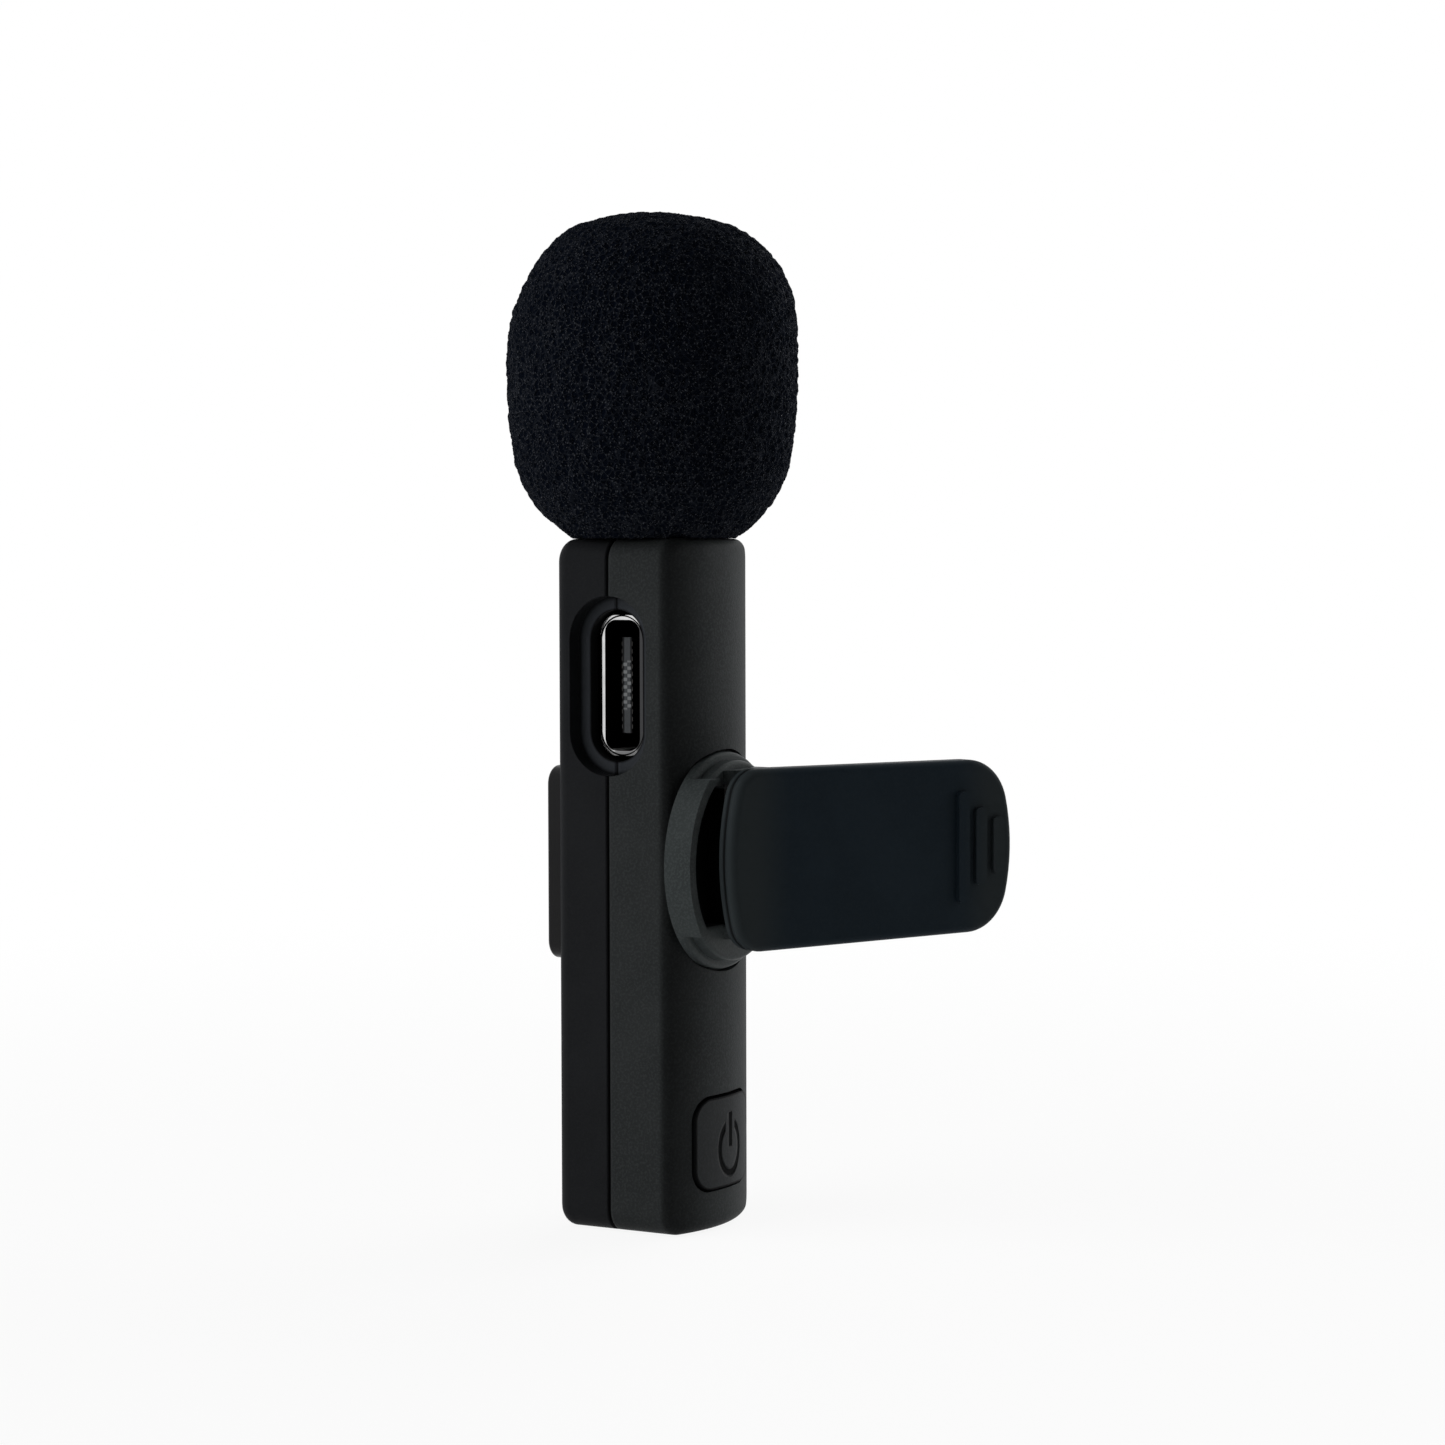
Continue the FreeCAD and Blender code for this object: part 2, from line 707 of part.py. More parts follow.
screw = newBody("swivel_screw")
outline = newSketch(screw, "screwHeadOutline", "XZ_Plane", f"-({washerFoot}-screwHeadThick)")
circle(outline, "0", "clipHeight", "screwHead")
pad(screw, "screwHeadDisc", outline, "screwHeadThick", True)
outline = newSketch(screw, "screwShankOutline", "XZ_Plane", f"-{washerFoot}")
circle(outline, "0", "clipHeight", "screwRadius")
pad(screw, "screwShank", outline, "frictionThick+washerThick+screwLong-slip", True)
outline = newSketch(screw, "screwSlotOutline", "XZ_Plane", f"-({washerFoot}-screwHeadThick)")
rectangle(outline, "-screwHead", "screwHead", "clipHeight-screwHead/6", "clipHeight+screwHead/6")
pocket(screw, "screwSlot", outline, "screwHeadThick/2")

# Hinge pin
rod("clip_pin", "Z",
    ("pivotAcross", "pivotLevel", f"{jawMiddle}-{cheekInner}-cheekThick"),
    "pinRadius", f"2*({cheekInner}+cheekThick)")

# Lever, drawn flat about its pivot and then tilted
lever = newBody("clip_lever")
outline = newSketch(lever, "leverOutline", "XZ_Plane", "-leverRise")
nearHalf = "(leverWidth/2-leverNearCorner)"
farHalf = "(leverTailWidth/2-leverFarCorner)"


def bowedEnd(reach, bend, corner, rise):
    # A corner arc that runs smoothly into the bowed end: its centre, then where they meet.
    inset = f"sqrt(({bend}-{corner})^2-{rise}^2)"
    share = f"{bend}/({bend}-{corner})"
    return f"({reach}-{bend}+{inset})", f"({reach}-{bend}+{share}*{inset})", f"({share}*{rise})"


nearFoot, nearMeet, nearRise = bowedEnd("leverReach", "leverNearBend", "leverNearCorner", nearHalf)
farFoot, farMeet, farRise = bowedEnd("leverTail", "leverFarBend", "leverFarCorner", farHalf)
loop(
    outline,
    [
        (nearFoot, "-leverWidth/2"),
        (nearMeet, f"-{nearRise}"),
        (nearMeet, nearRise),
        (nearFoot, "leverWidth/2"),
        (f"-{farFoot}", "leverTailWidth/2"),
        (f"-{farMeet}", farRise),
        (f"-{farMeet}", f"-{farRise}"),
        (f"-{farFoot}", "-leverTailWidth/2"),
    ],
    {0: "leverNearCorner", 1: "leverNearBend", 2: "leverNearCorner",
     4: "leverFarCorner", 5: "leverFarBend", 6: "leverFarCorner"},
)
solid = pad(lever, "leverPlate", outline, "leverThick", True)
face = number("leverRise+leverThick")
dress(lever, "Fillet", "leverEdge", solid, lambda e: flatAt(e, "Y", face), "leverRound")
for side, level in (("low", "-lugInner-lugThick"), ("high", "lugInner")):
    outline = newSketch(lever, side + "LugOutline", "XY_Plane", level)
    loop(
        outline,
        [
            ("lugFront", "leverRise+slip"),
            ("-lugRear", "leverRise+slip"),
            ("-lugRound", "0"),
            ("0", "-lugRound"),
            ("lugRound", "0"),
        ],
        {2: "lugRound", 3: "lugRound"},
    )
    pad(lever, side + "Lug", outline, "lugThick")
outline = newSketch(lever, "lugHoleOutline", "XY_Plane", "lugInner+lugThick")
circle(outline, "0", "0", "pinRadius+pinFit")
pocket(lever, "lugHole", outline, "2*(lugInner+lugThick)")
for step, long in enumerate(("ridgeShort", "ridgeMiddle", "ridgeLong")):
    outline = newSketch(lever, f"ridgeOutline{step}", "XZ_Plane", "-leverRise-leverThick+slip")
    place = f"-leverTail+ridgeFirst+{step}*ridgePitch"
    roundedRectangle(outline, f"({place})", "0", "ridgeWide", long, "ridgeCorner")
    pad(lever, f"ridge{step}", outline, "ridgeRise+slip", True)
lever.Placement = FreeCAD.Placement(Vector(0, 0, 0), FreeCAD.Rotation(Vector(0, 0, 1), -20))
bind(lever, "Placement.Rotation.Angle", "-leverTilt")
bind(lever, "Placement.Base.x", "pivotAcross")
bind(lever, "Placement.Base.y", "pivotLevel")
bind(lever, "Placement.Base.z", jawMiddle)


def arcFrom(start, tangent, end):
    # The arc that leaves start along tangent and ends at end.
    chord = end - start
    along = Vector(chord).normalize()
    lean = tangent - along * tangent.dot(along)
    if lean.Length < 1e-7:
        return Part.LineSegment(start, end).toShape()
    turn = math.acos(max(-1, min(1, tangent.dot(along))))
    middle = (start + end) * 0.5 + lean.normalize() * (chord.Length / 2 * math.tan(turn / 2))
    return Part.Arc(start, middle, end).toShape()


def biarc(start, startWay, end, endWay):
    # Two arcs that join two places and keep their tangents.
    gap = end - start
    both = startWay + endWay
    spread = 2 * (1 - startWay.dot(endWay))
    reach = gap.dot(both)
    size = (-reach + math.sqrt(reach * reach + spread * gap.dot(gap))) / spread
    joint = (start + end) * 0.5 + (startWay - endWay) * (size / 2)
    back = arcFrom(end, endWay * -1, joint)
    return [arcFrom(start, startWay, joint), back]


def tube(path, radius):
    # A round wire along a path that starts straight.
    first = path.Edges[0]
    start = first.valueAt(first.FirstParameter)
    way = first.tangentAt(first.FirstParameter)
    section = Part.Wire([Part.Circle(start, way, radius).toShape()])
    return path.makePipeShell([section], True, False)


def keepShape(label, shape):
    feature = doc.addObject("Part::Feature", label)
    feature.Shape = shape
    pieces[label] = feature
    return feature


# Torsion spring: turns round the pin, one leg along the drum and one under the lever
wire = number("springWire")
radius = number("springRadius")
pitch = number("springPitch")
turns = round(number("springTurns"))
leg = number("springLeg")
centre = Vector(number("pivotAcross"), number("pivotLevel"), number(jawMiddle))
legAngle = math.atan2(leg, radius)
startAngle = math.radians(-90)
lastAngle = math.radians(105 - number("leverTilt")) - legAngle
whole = 2 * math.pi * turns + lastAngle - startAngle
climb = pitch / (2 * math.pi)
lowest = -whole * climb / 2


def onSpring(angle):
    rise = lowest + (angle - startAngle) * climb
    return centre + Vector(radius * math.cos(angle), radius * math.sin(angle), rise)


def alongSpring(angle):
    return Vector(-radius * math.sin(angle), radius * math.cos(angle), climb).normalize()


steps = math.ceil(whole / (math.pi / 2))
angles = [startAngle + whole * i / steps for i in range(steps + 1)]
edges = [Part.LineSegment(onSpring(angles[0]) - alongSpring(angles[0]) * leg,
                          onSpring(angles[0])).toShape()]
for a, b in zip(angles, angles[1:]):
    edges += biarc(onSpring(a), alongSpring(a), onSpring(b), alongSpring(b))
edges.append(Part.LineSegment(onSpring(angles[-1]),
                              onSpring(angles[-1]) + alongSpring(angles[-1]) * leg).toShape())
path = Part.Wire(Part.sortEdges(edges)[0])
keepShape("clip_spring", tube(path, wire / 2))
trail = path.discretize(Distance=0.15)
far = round(2 * radius / 0.15)
gaps = [
    (trail[i] - trail[j]).Length - wire
    for i in range(len(trail))
    for j in range(i + far, len(trail))
]
print(f"spring's least gap to itself {min(gaps):.2f} mm")

# Head tube with the flange that holds it under the casing's top wall
tubeFoot = "(caseHeight-caseWall-tubeFlangeThick)"
tubeTop = "(caseHeight+tubeRise)"
tubeBore = "(tubeRadius-tubeWall)"
head = newBody("head_tube")
outline = newSketch(head, "tubeOutline", "XY_Plane", tubeFoot)
circle(outline, "0", "headShift", "tubeRadius")
circle(outline, "0", "headShift", tubeBore)
pad(head, "tubeWallRing", outline, f"{tubeTop}-{tubeFoot}")
outline = newSketch(head, "tubeFlangeOutline", "XY_Plane", tubeFoot)
circle(outline, "0", "headShift", "tubeRadius+tubeFlange")
circle(outline, "0", "headShift", "tubeRadius-tubeWall/2")
pad(head, "tubeFlangeRing", outline, "tubeFlangeThick")

# What the tube holds, from the top down
meshFoot = f"({tubeTop}-meshThick)"
feltFoot = f"({meshFoot}-feltThick)"
canFoot = f"({feltFoot}-canThick)"
meshBody = newBody("head_mesh")
outline = newSketch(meshBody, "meshOutline", "XY_Plane", meshFoot)
circle(outline, "0", "headShift", tubeBore)
holeStep = f"({tubeBore}/4)"
circle(outline, "0", "headShift", "meshHole")
for count, reach in ((6, 1), (12, 2), (18, 3)):
    for i in range(count):
        turn = 360 * i / count
        circle(
            outline,
            f"{reach}*{holeStep}*cos({turn}deg)",
            f"headShift+{reach}*{holeStep}*sin({turn}deg)",
            "meshHole",
        )
pad(meshBody, "meshDisc", outline, "meshThick")
rod("dust_felt", "Z", ("0", "headShift", feltFoot), tubeBore, "feltThick")
rod("capsule_can", "Z", ("0", "headShift", canFoot), f"{tubeBore}-capGap", "canThick")
cupOuter = rod("cupOuter", "Z", ("0", "headShift", f"{canFoot}-cupThick"), tubeBore,
               "canThick+cupThick", keep=False)
cupInner = rod("cupInner", "Z", ("0", "headShift", canFoot), f"{tubeBore}-capGap",
               "canThick", keep=False)
cupBlank = doc.addObject("Part::Cut", "cupBlank")
cupBlank.Base = cupOuter
cupBlank.Tool = cupInner
cupBore = rod("cupBore", "Z", ("0", "headShift", f"{canFoot}-cupThick"), f"{tubeBore}-capGap-cupLip",
              "cupThick", keep=False)
combine("Cut", "capsule_gasket", cupBlank, cupBore)
micBoardFoot = f"({canFoot}-micBoardThick)"
rod("capsule_board", "Z", ("0", "headShift", micBoardFoot), f"{tubeBore}-micBoardInset",
    "micBoardThick")

# Foam windscreen: flat foot, flare, sides, shoulder and cap turned about the tube's axis
foam = newBody("foam_windscreen")
outline = newSketch(foam, "foamOutline", "XZ_Plane")
foamFootLevel = "(caseHeight+foamLift)"
socketRadius = "(tubeRadius+foamGap)"
socketTop = f"({tubeTop}+foamGap)"
capDrop = "(foamTop-foamCap)"
loop(
    outline,
    [
        (socketRadius, foamFootLevel),
        ("foamFoot", foamFootLevel),
        ("foamLowRadius", "caseHeight+foamLow"),
        ("foamHighRadius", "caseHeight+foamHigh"),
        ("foamCapRadius", "caseHeight+foamCap"),
        ("0", "caseHeight+foamTop"),
        ("0", socketTop),
        (socketRadius, socketTop),
    ],
    {1: "foamFlareRound", 2: "foamSideRound", 3: "foamShoulderRound",
     4: f"((foamCapRadius^2+{capDrop}^2)/(2*{capDrop}))"},
)
turned = foam.newObject("PartDesign::Revolution", "foamTurned")
turned.Profile = (outline, [""])
turned.ReferenceAxis = (outline, ["V_Axis"])
turned.Angle = 360
bind(foam, "Placement.Base.y", "headShift")

# Circuit board
boardLeft = f"(-{innerHalf}+boardEdge/2)"
block("circuit_board", (boardLeft, "boardRight"), (boardUnder, boardTop),
      ("caseWall+boardEdge", f"{tubeFoot}-boardEdge"))

# Socket shell, tongue and contact strips
socket = newBody("usb_shell")
outline = newSketch(socket, "socketOutline", "YZ_Plane", portFront)
roundedRectangle(outline, "0", portHeight, "portThick", "portLength", "portCorner")
pad(socket, "socketBlock", outline, portDeep, True)
outline = newSketch(socket, "socketBoreOutline", "YZ_Plane", portFront)
roundedRectangle(
    outline,
    "0",
    portHeight,
    "portThick-2*portSheet",
    "portLength-2*portSheet",
    "portCorner-portSheet",
)
pocket(socket, "socketBore", outline, f"{portDeep}-portSheet")
tongueFront = f"({portFront}-tongueInset)"
block("usb_tongue", (f"{portFront}-{portDeep}+portSheet", tongueFront),
      ("-tongueThick/2", "tongueThick/2"),
      (f"{portHeight}-tongueLength/2", f"{portHeight}+tongueLength/2"))
strips = []
for i in range(round(number("contactCount"))):
    middle = f"({portHeight}+({i}-(contactCount-1)/2)*contactPitch)"
    across = (f"{middle}-contactWidth/2", f"{middle}+contactWidth/2")
    ahead = (f"{tongueFront}-contactLong", tongueFront)
    strips.append(block(f"contactOver{i}", ahead,
                        ("tongueThick/2", "tongueThick/2+contactThick"), across, keep=False))
    strips.append(block(f"contactUnder{i}", ahead,
                        ("-tongueThick/2-contactThick", "-tongueThick/2"), across, keep=False))
combine("Compound", "usb_contacts", strips, None)

# Switch under the key; its plunger moves with the key
switchTop = f"({boardTop}+switchThick)"
blank = block("switchBlank", ("-switchWidth/2", "switchWidth/2"), (boardTop, switchTop),
              ("keyMiddle-switchHeight/2", "keyMiddle+switchHeight/2"), keep=False)
well = rod("switchWell", "Y", ("0", f"{switchTop}-plungerDeep-keyTravel", "keyMiddle"),
           "plungerRadius+slip", "plungerDeep+keyTravel", keep=False)
combine("Cut", "switch_body", blank, well)
rod("switch_plunger", "Y", ("0", f"{switchTop}-plungerDeep+slip", "keyMiddle"),
    "plungerRadius", f"{stemFoot}-{switchTop}+plungerDeep-slip")

# Status light under the pipe
block("status_led", (boardLeft, f"{boardLeft}+lightWide"), (boardTop, f"{boardTop}+chipThick"),
      ("keyMiddle-lightLong/2", "keyMiddle+lightLong/2"))

# Battery cell on its adhesive pad
cellUnder = f"({boardTop}+tapeThick)"
cellFoot = "(keyMiddle+keyHeight/2+keyFlange+cellFootGap)"
cellTop = f"({portHeight}-{blockHalf}-cellGap)"
block("battery_tape", ("-cellWidth/2+cellRound", "cellWidth/2-cellRound"), (boardTop, cellUnder),
      (f"{cellFoot}+cellRound", f"{cellTop}-cellRound"))
cell = newBody("battery_cell")
outline = newSketch(cell, "cellOutline", "XY_Plane", cellFoot)
roundedRectangle(outline, "0", f"({cellUnder}+cellThick/2)", "cellWidth", "cellThick", "cellRound")
pad(cell, "cellBlock", outline, f"{cellTop}-{cellFoot}")

# Chips on the board's front side
chipUnder = f"({boardUnder}-chipThick)"


def chip(label, z, long, wide):
    block(label, (f"-chipAcross-{wide}/2", f"-chipAcross+{wide}/2"), (chipUnder, boardUnder),
          (f"{z}-({long})/2", f"{z}+({long})/2"))


chip("radio_chip", f"{cellFoot}+radioRise", "radioSide", "radioSide")
chip("audio_chip", f"{portHeight}-audioDrop", "audioSide", "audioSide")
chip("charger_chip", f"{portHeight}+chargerRise", "chargerSide", "chargerSide")
chip("crystal", f"{cellFoot}+crystalRise", "crystalLong", "crystalWide")
antennaFoot = f"({portHeight}+portLength/2+boardEdge)"
block("chip_antenna", ("-chipAcross-antennaLong/2", "-chipAcross+antennaLong/2"),
      (boardTop, f"{boardTop}+antennaThick"), (antennaFoot, f"{antennaFoot}+antennaWide"))

# Resistors and capacitors in two rows beside the chips
passives = []
for i, x in enumerate(("-partLeft", "partRight")):
    for j in range(9):
        z = f"({cellFoot}+{j}*partPitch+{i}*partShift)"
        passives.append(block(f"passive{i}x{j}", (f"{x}-partWide/2", f"{x}+partWide/2"),
                              (f"{boardUnder}-partThick", boardUnder),
                              (f"{z}-partLong/2", f"{z}+partLong/2"), keep=False))
combine("Compound", "small_parts", passives, None)


def bentWire(spots, bend):
    # Straight runs joined by arcs of the given radius.
    edges = []
    start = spots[0]
    for before, corner, after in zip(spots, spots[1:], spots[2:]):
        into = (corner - before).normalize()
        out = (after - corner).normalize()
        cut = bend * math.tan(into.getAngle(out) / 2)
        enter = corner - into * cut
        leave = corner + out * cut
        edges.append(Part.LineSegment(start, enter).toShape())
        edges.append(arcFrom(enter, into, leave))
        start = leave
    edges.append(Part.LineSegment(start, spots[-1]).toShape())
    return Part.Wire(edges)


# Leads: capsule to board, and cell to board
leadRadius = number("leadRadius")
lead = 2.2 * leadRadius
boardLevel = number(boardTop)
micTop = number(micBoardFoot)
micBend = number(f"{tubeFoot}-boardEdge")
micEnd = number(f"{antennaFoot}+antennaWide")
micStep = (micBend + micEnd) / 2
leads = []
for side in (-1, 1):
    x = side * lead
    y = number("headShift-micLeadInset")
    leads.append(tube(bentWire([
        Vector(x, y, micTop),
        Vector(x, y, micStep),
        Vector(x, boardLevel, micStep),
    ], 2.5 * leadRadius), leadRadius))
keepShape("mic_leads", Part.makeCompound(leads))
cellEnd = number(cellFoot)
leadOut = number(f"{cellFoot}-cellLeadReach")
leads = []
for side in (-1, 1):
    x = side * 2 * lead
    y = number(f"{cellUnder}+cellThick/2")
    leads.append(tube(bentWire([
        Vector(x, y, cellEnd),
        Vector(x, y, leadOut),
        Vector(x, boardLevel, leadOut),
    ], 3 * leadRadius), leadRadius))
keepShape("battery_leads", Part.makeCompound(leads))

doc.recompute()
for thing in doc.Objects:
    if "Invalid" in thing.State or "Error" in thing.State:
        raise ValueError(f"{thing.Name} could not be built")
os.makedirs("parts", exist_ok=True)
for label, thing in pieces.items():
    shape = thing.Shape
    if shape.isNull() or not shape.isValid():
        raise ValueError(f"{label} is not a valid shape")
for label, thing in pieces.items():
    thing.Label = label
    thing.Shape.exportStep(f"parts/{label}.step")
print(f"{len(pieces)} pieces")
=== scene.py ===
import math
import bpy
import numpy as np
from mathutils import Matrix, Vector


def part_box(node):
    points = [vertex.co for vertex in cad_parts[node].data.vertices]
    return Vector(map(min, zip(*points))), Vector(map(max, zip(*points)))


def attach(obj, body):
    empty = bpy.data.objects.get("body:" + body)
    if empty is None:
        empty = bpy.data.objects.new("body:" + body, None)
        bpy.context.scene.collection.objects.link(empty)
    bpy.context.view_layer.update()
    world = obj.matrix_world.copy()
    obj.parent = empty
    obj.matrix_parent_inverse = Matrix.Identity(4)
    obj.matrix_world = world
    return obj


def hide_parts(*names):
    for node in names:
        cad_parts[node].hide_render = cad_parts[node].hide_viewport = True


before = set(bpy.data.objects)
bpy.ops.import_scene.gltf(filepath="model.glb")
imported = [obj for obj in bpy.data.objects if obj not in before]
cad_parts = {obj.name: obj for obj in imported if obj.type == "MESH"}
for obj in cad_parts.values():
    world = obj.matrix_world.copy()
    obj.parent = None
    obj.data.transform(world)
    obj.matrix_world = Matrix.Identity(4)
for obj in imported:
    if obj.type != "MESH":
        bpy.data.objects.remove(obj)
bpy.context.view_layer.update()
mm = 0.001

# the view of the photograph, sizes in millimetres on the object and in its pixels
view = {
    "around": 29.0,  # degrees from the socket's face towards the clip
    "distance": 222.0,
    "height": 43.1,
    "scale": 15.53,  # pixels per millimetre at the casing's axis
    "eyeRow": 554.0,
    "axisColumn": 649.43,
    "roll": -0.14,
    "picture": 1445,
    "film": 36.0,
    "near": 0.005,  # clipping distances in metres
    "far": 20.0,
}


def addCamera(s):
    around = math.radians(s["around"])
    focal = s["scale"] * s["distance"]
    middle = s["picture"] / 2
    pitch = math.atan((middle - s["eyeRow"]) / focal)
    outward = Vector((math.cos(around), math.sin(around), 0))
    back = outward * math.cos(pitch) + Vector((0, 0, math.sin(pitch)))
    right = Vector((-math.sin(around), math.cos(around), 0))
    up = back.cross(right)
    sideways = (middle - s["axisColumn"]) / focal * s["distance"]
    place = outward * s["distance"] + Vector((0, 0, s["height"])) + right * sideways
    roll = math.radians(s["roll"])
    leanRight = right * math.cos(roll) + up * math.sin(roll)
    leanUp = up * math.cos(roll) - right * math.sin(roll)
    camera = bpy.data.objects.new("camera", bpy.data.cameras.new("camera"))
    camera.data.lens = focal / s["picture"] * s["film"]
    camera.data.sensor_width = s["film"]
    camera.data.clip_start = s["near"]
    camera.data.clip_end = s["far"]
    turned = Matrix((leanRight, leanUp, back)).transposed().to_4x4()
    camera.matrix_world = Matrix.Translation(place * mm) @ turned
    bpy.context.scene.collection.objects.link(camera)
    bpy.context.scene.camera = camera


addCamera(view)
print("camera set")


class Wire:  # a socket that takes part in sums
    def __init__(self, shader, socket):
        self.shader = shader
        self.socket = socket

    def sum(self, operation, *values):
        vectors = any(
            isinstance(x, tuple) or isinstance(x, Wire) and x.socket.type in ("VECTOR", "RGBA")
            for x in values
        )
        if vectors:
            values = [x if isinstance(x, (Wire, tuple)) else (x, x, x) for x in values]
        kind = "VectorMath" if vectors else "Math"
        return self.shader.node(kind, {"operation": operation}, dict(enumerate(values)))

    def __add__(self, other):
        return self.sum("ADD", self, other)

    def __radd__(self, other):
        return self.sum("ADD", other, self)

    def __sub__(self, other):
        return self.sum("SUBTRACT", self, other)

    def __rsub__(self, other):
        return self.sum("SUBTRACT", other, self)

    def __mul__(self, other):
        return self.sum("MULTIPLY", self, other)

    def __rmul__(self, other):
        return self.sum("MULTIPLY", other, self)

    def __truediv__(self, other):
        return self.sum("DIVIDE", self, other)

    def __rtruediv__(self, other):
        return self.sum("DIVIDE", other, self)

    def __pow__(self, other):
        return self.sum("POWER", self, other)

    def __abs__(self):
        return self.sum("ABSOLUTE", self)

    def __gt__(self, other):
        return self.sum("GREATER_THAN", self, other)


noiseMiddle = 0.5
# the black of painted shade inside cuts
hollowBlack = (0.0015, 0.0015, 0.0015, 1)


class Shader:
    def __init__(self, name, owner=None):
        self.material = owner or bpy.data.materials.new(name)
        self.material.use_nodes = True
        self.nodes = self.material.node_tree.nodes
        self.links = self.material.node_tree.links
        self.nodes.clear()

    def node(self, kind, settings=None, values=None, output=0):
        made = self.nodes.new("ShaderNode" + kind)
        for name, value in (settings or {}).items():
            setattr(made, name, value)
        for name, value in (values or {}).items():
            if isinstance(value, Wire):
                self.links.new(value.socket, made.inputs[name])
            else:
                made.inputs[name].default_value = value
        return Wire(self, made.outputs[output]) if len(made.outputs) else None

    def place(self):  # the surface point in millimetres
        return self.node("TexCoord", output="Object") * (1 / mm)

    def part(self, spot, axis):
        return self.node("SeparateXYZ", None, {"Vector": spot}, axis)

    def along(self, spot, way):
        return self.node("VectorMath", {"operation": "DOT_PRODUCT"}, {0: spot, 1: way}, "Value")

    def larger(self, first, second):
        return self.node("Math", {"operation": "MAXIMUM"}, {0: first, 1: second})

    def noise(self, spot, scale, detail=2.0, rough=0.5):
        return self.node(
            "TexNoise", None, {"Vector": spot, "Scale": scale, "Detail": detail, "Roughness": rough}
        )

    def cells(self, spot, scale, feature="F1"):
        return self.node("TexVoronoi", {"feature": feature}, {"Vector": spot, "Scale": scale},
                         "Distance")

    def fade(self, value, low, high):  # 0 below low, 1 above high
        return self.node(
            "MapRange",
            {"interpolation_type": "SMOOTHSTEP"},
            {"Value": value, "From Min": low, "From Max": high, "To Min": 0.0, "To Max": 1.0},
        )

    def blendColour(self, amount, first, second):
        mix = self.nodes.new("ShaderNodeMix")
        mix.data_type = "RGBA"
        for name, value in (("Factor", amount), ("A", first), ("B", second)):
            socket = next(i for i in mix.inputs if i.name == name and i.enabled)
            if isinstance(value, Wire):
                self.links.new(value.socket, socket)
            else:
                socket.default_value = (*value, 1)
        return Wire(self, next(o for o in mix.outputs if o.enabled))

    def bump(self, height, depth, strength=1.0, over=None):
        values = {"Height": height, "Distance": depth * mm, "Strength": strength}
        if over:
            values["Normal"] = over
        return self.node("Bump", None, values)

    def stadium(self, spot, s):  # distance from the socket's upright middle line
        beyond = self.larger(abs(self.part(spot, 2) - s["height"]) - s["straight"], 0.0)
        return (self.part(spot, 1) ** 2.0 + beyond * beyond) ** 0.5

    def seenWhite(self):  # 1 for the rays that show the plain background
        seen = self.node("LightPath", output="Is Camera Ray")
        for name in ("Is Glossy Ray", "Is Transmission Ray"):
            seen = self.larger(seen, self.node("LightPath", output=name))
        return seen

    def varied(self, value, *changes):  # a value that moves with each noise about its middle
        for noise, share in changes:
            value = value + (noise - noiseMiddle) * share
        return value

    def finish(self, values, hollow=None):  # the last argument is 1 where painted shade blacks out a cut
        surface = self.node("BsdfPrincipled", None, values)
        if hollow:
            black = self.node("BsdfDiffuse", None, {"Color": hollowBlack})
            surface = self.node("MixShader", None, {0: hollow, 1: surface, 2: black})
        self.node("OutputMaterial", None, {"Surface": surface})
        return self.material


# what the black mouldings share, sizes in millimetres
moulding = {
    "fleck": (0.046, 0.050, 0.051),
    "grain": 0.4,
    "roughness": 0.5,
    "roughDrift": 0.12,
    "roughPits": 0.14,
    "ior": 1.1,
    "driftScale": 0.22,
    "driftRange": (0.35, 0.65),
    "pitScale": 6.5,
    "pitRange": (0.45, 0.62),
    "pitDepth": 0.05,
    "pitStrength": 0.6,
}


def mottledTone(sh, spot, s):
    # a slow drift between two tones, and paler flecks in the pits
    drift = sh.noise(spot, s["driftScale"], detail=3.0)
    pits = sh.noise(spot, s["pitScale"], detail=3.0, rough=0.6)
    tone = sh.blendColour(sh.fade(drift, *s["driftRange"]), s["dark"], s["light"])
    flecks = sh.fade(pits, *s["pitRange"]) * s["grain"]
    return drift, pits, sh.blendColour(flecks, tone, s["fleck"])


recess = {  # the smooth dished wall round the socket: painted shade darkens its outer edge and blacks out its foot, and painted light makes the wall between paler
    "height": 34.77,
    "straight": 2.89,
    "edge": 2.76,
    "edgeSoft": 0.08,
    "foot": 2.0,
    "footSoft": 0.1,
    "dish": 0.3,
    "face": 5.3,
    "faceSoft": 0.1,
    "deepest": 2.0,
    "rim": (0.009, 0.010, 0.011),
    "wall": (0.040, 0.044, 0.050),
    "deepShade": (0.002, 0.002, 0.002),
}


# painted light and shade on the socket's recess
def recessShading(sh, spot, tone, s):
    off = sh.stadium(spot, s)
    x = sh.part(spot, 0)
    wall = sh.blendColour(sh.fade(off, s["edge"], s["edge"] - s["dish"]), s["rim"], s["wall"])
    foot = sh.fade(off, s["foot"] + s["footSoft"], s["foot"] - s["footSoft"])
    wall = sh.blendColour(foot, wall, s["deepShade"])
    within = sh.fade(off, s["edge"] + s["edgeSoft"], s["edge"])
    within = within * sh.fade(x, s["face"], s["face"] - s["faceSoft"]) * (x > s["deepest"])
    return sh.blendColour(within, tone, wall)


crown = {  # painted light and shade: the crowned back is paler along its middle and darker towards its long edges
    "middle": 1.0,
    "edge": 5.2,
    "pale": 1.25,
    "deepShade": 0.5,
    "from": 3.55,  # how far out the crown starts
    "full": 4.05,
}


def crownShading(sh, spot, tone, s):
    off = sh.fade(abs(sh.part(spot, 0)), s["middle"], s["edge"])
    crowned = sh.fade(sh.part(spot, 1), s["from"], s["full"])
    return tone * (crowned * (s["pale"] - 1.0 - off * (s["pale"] - s["deepShade"])) + 1.0)


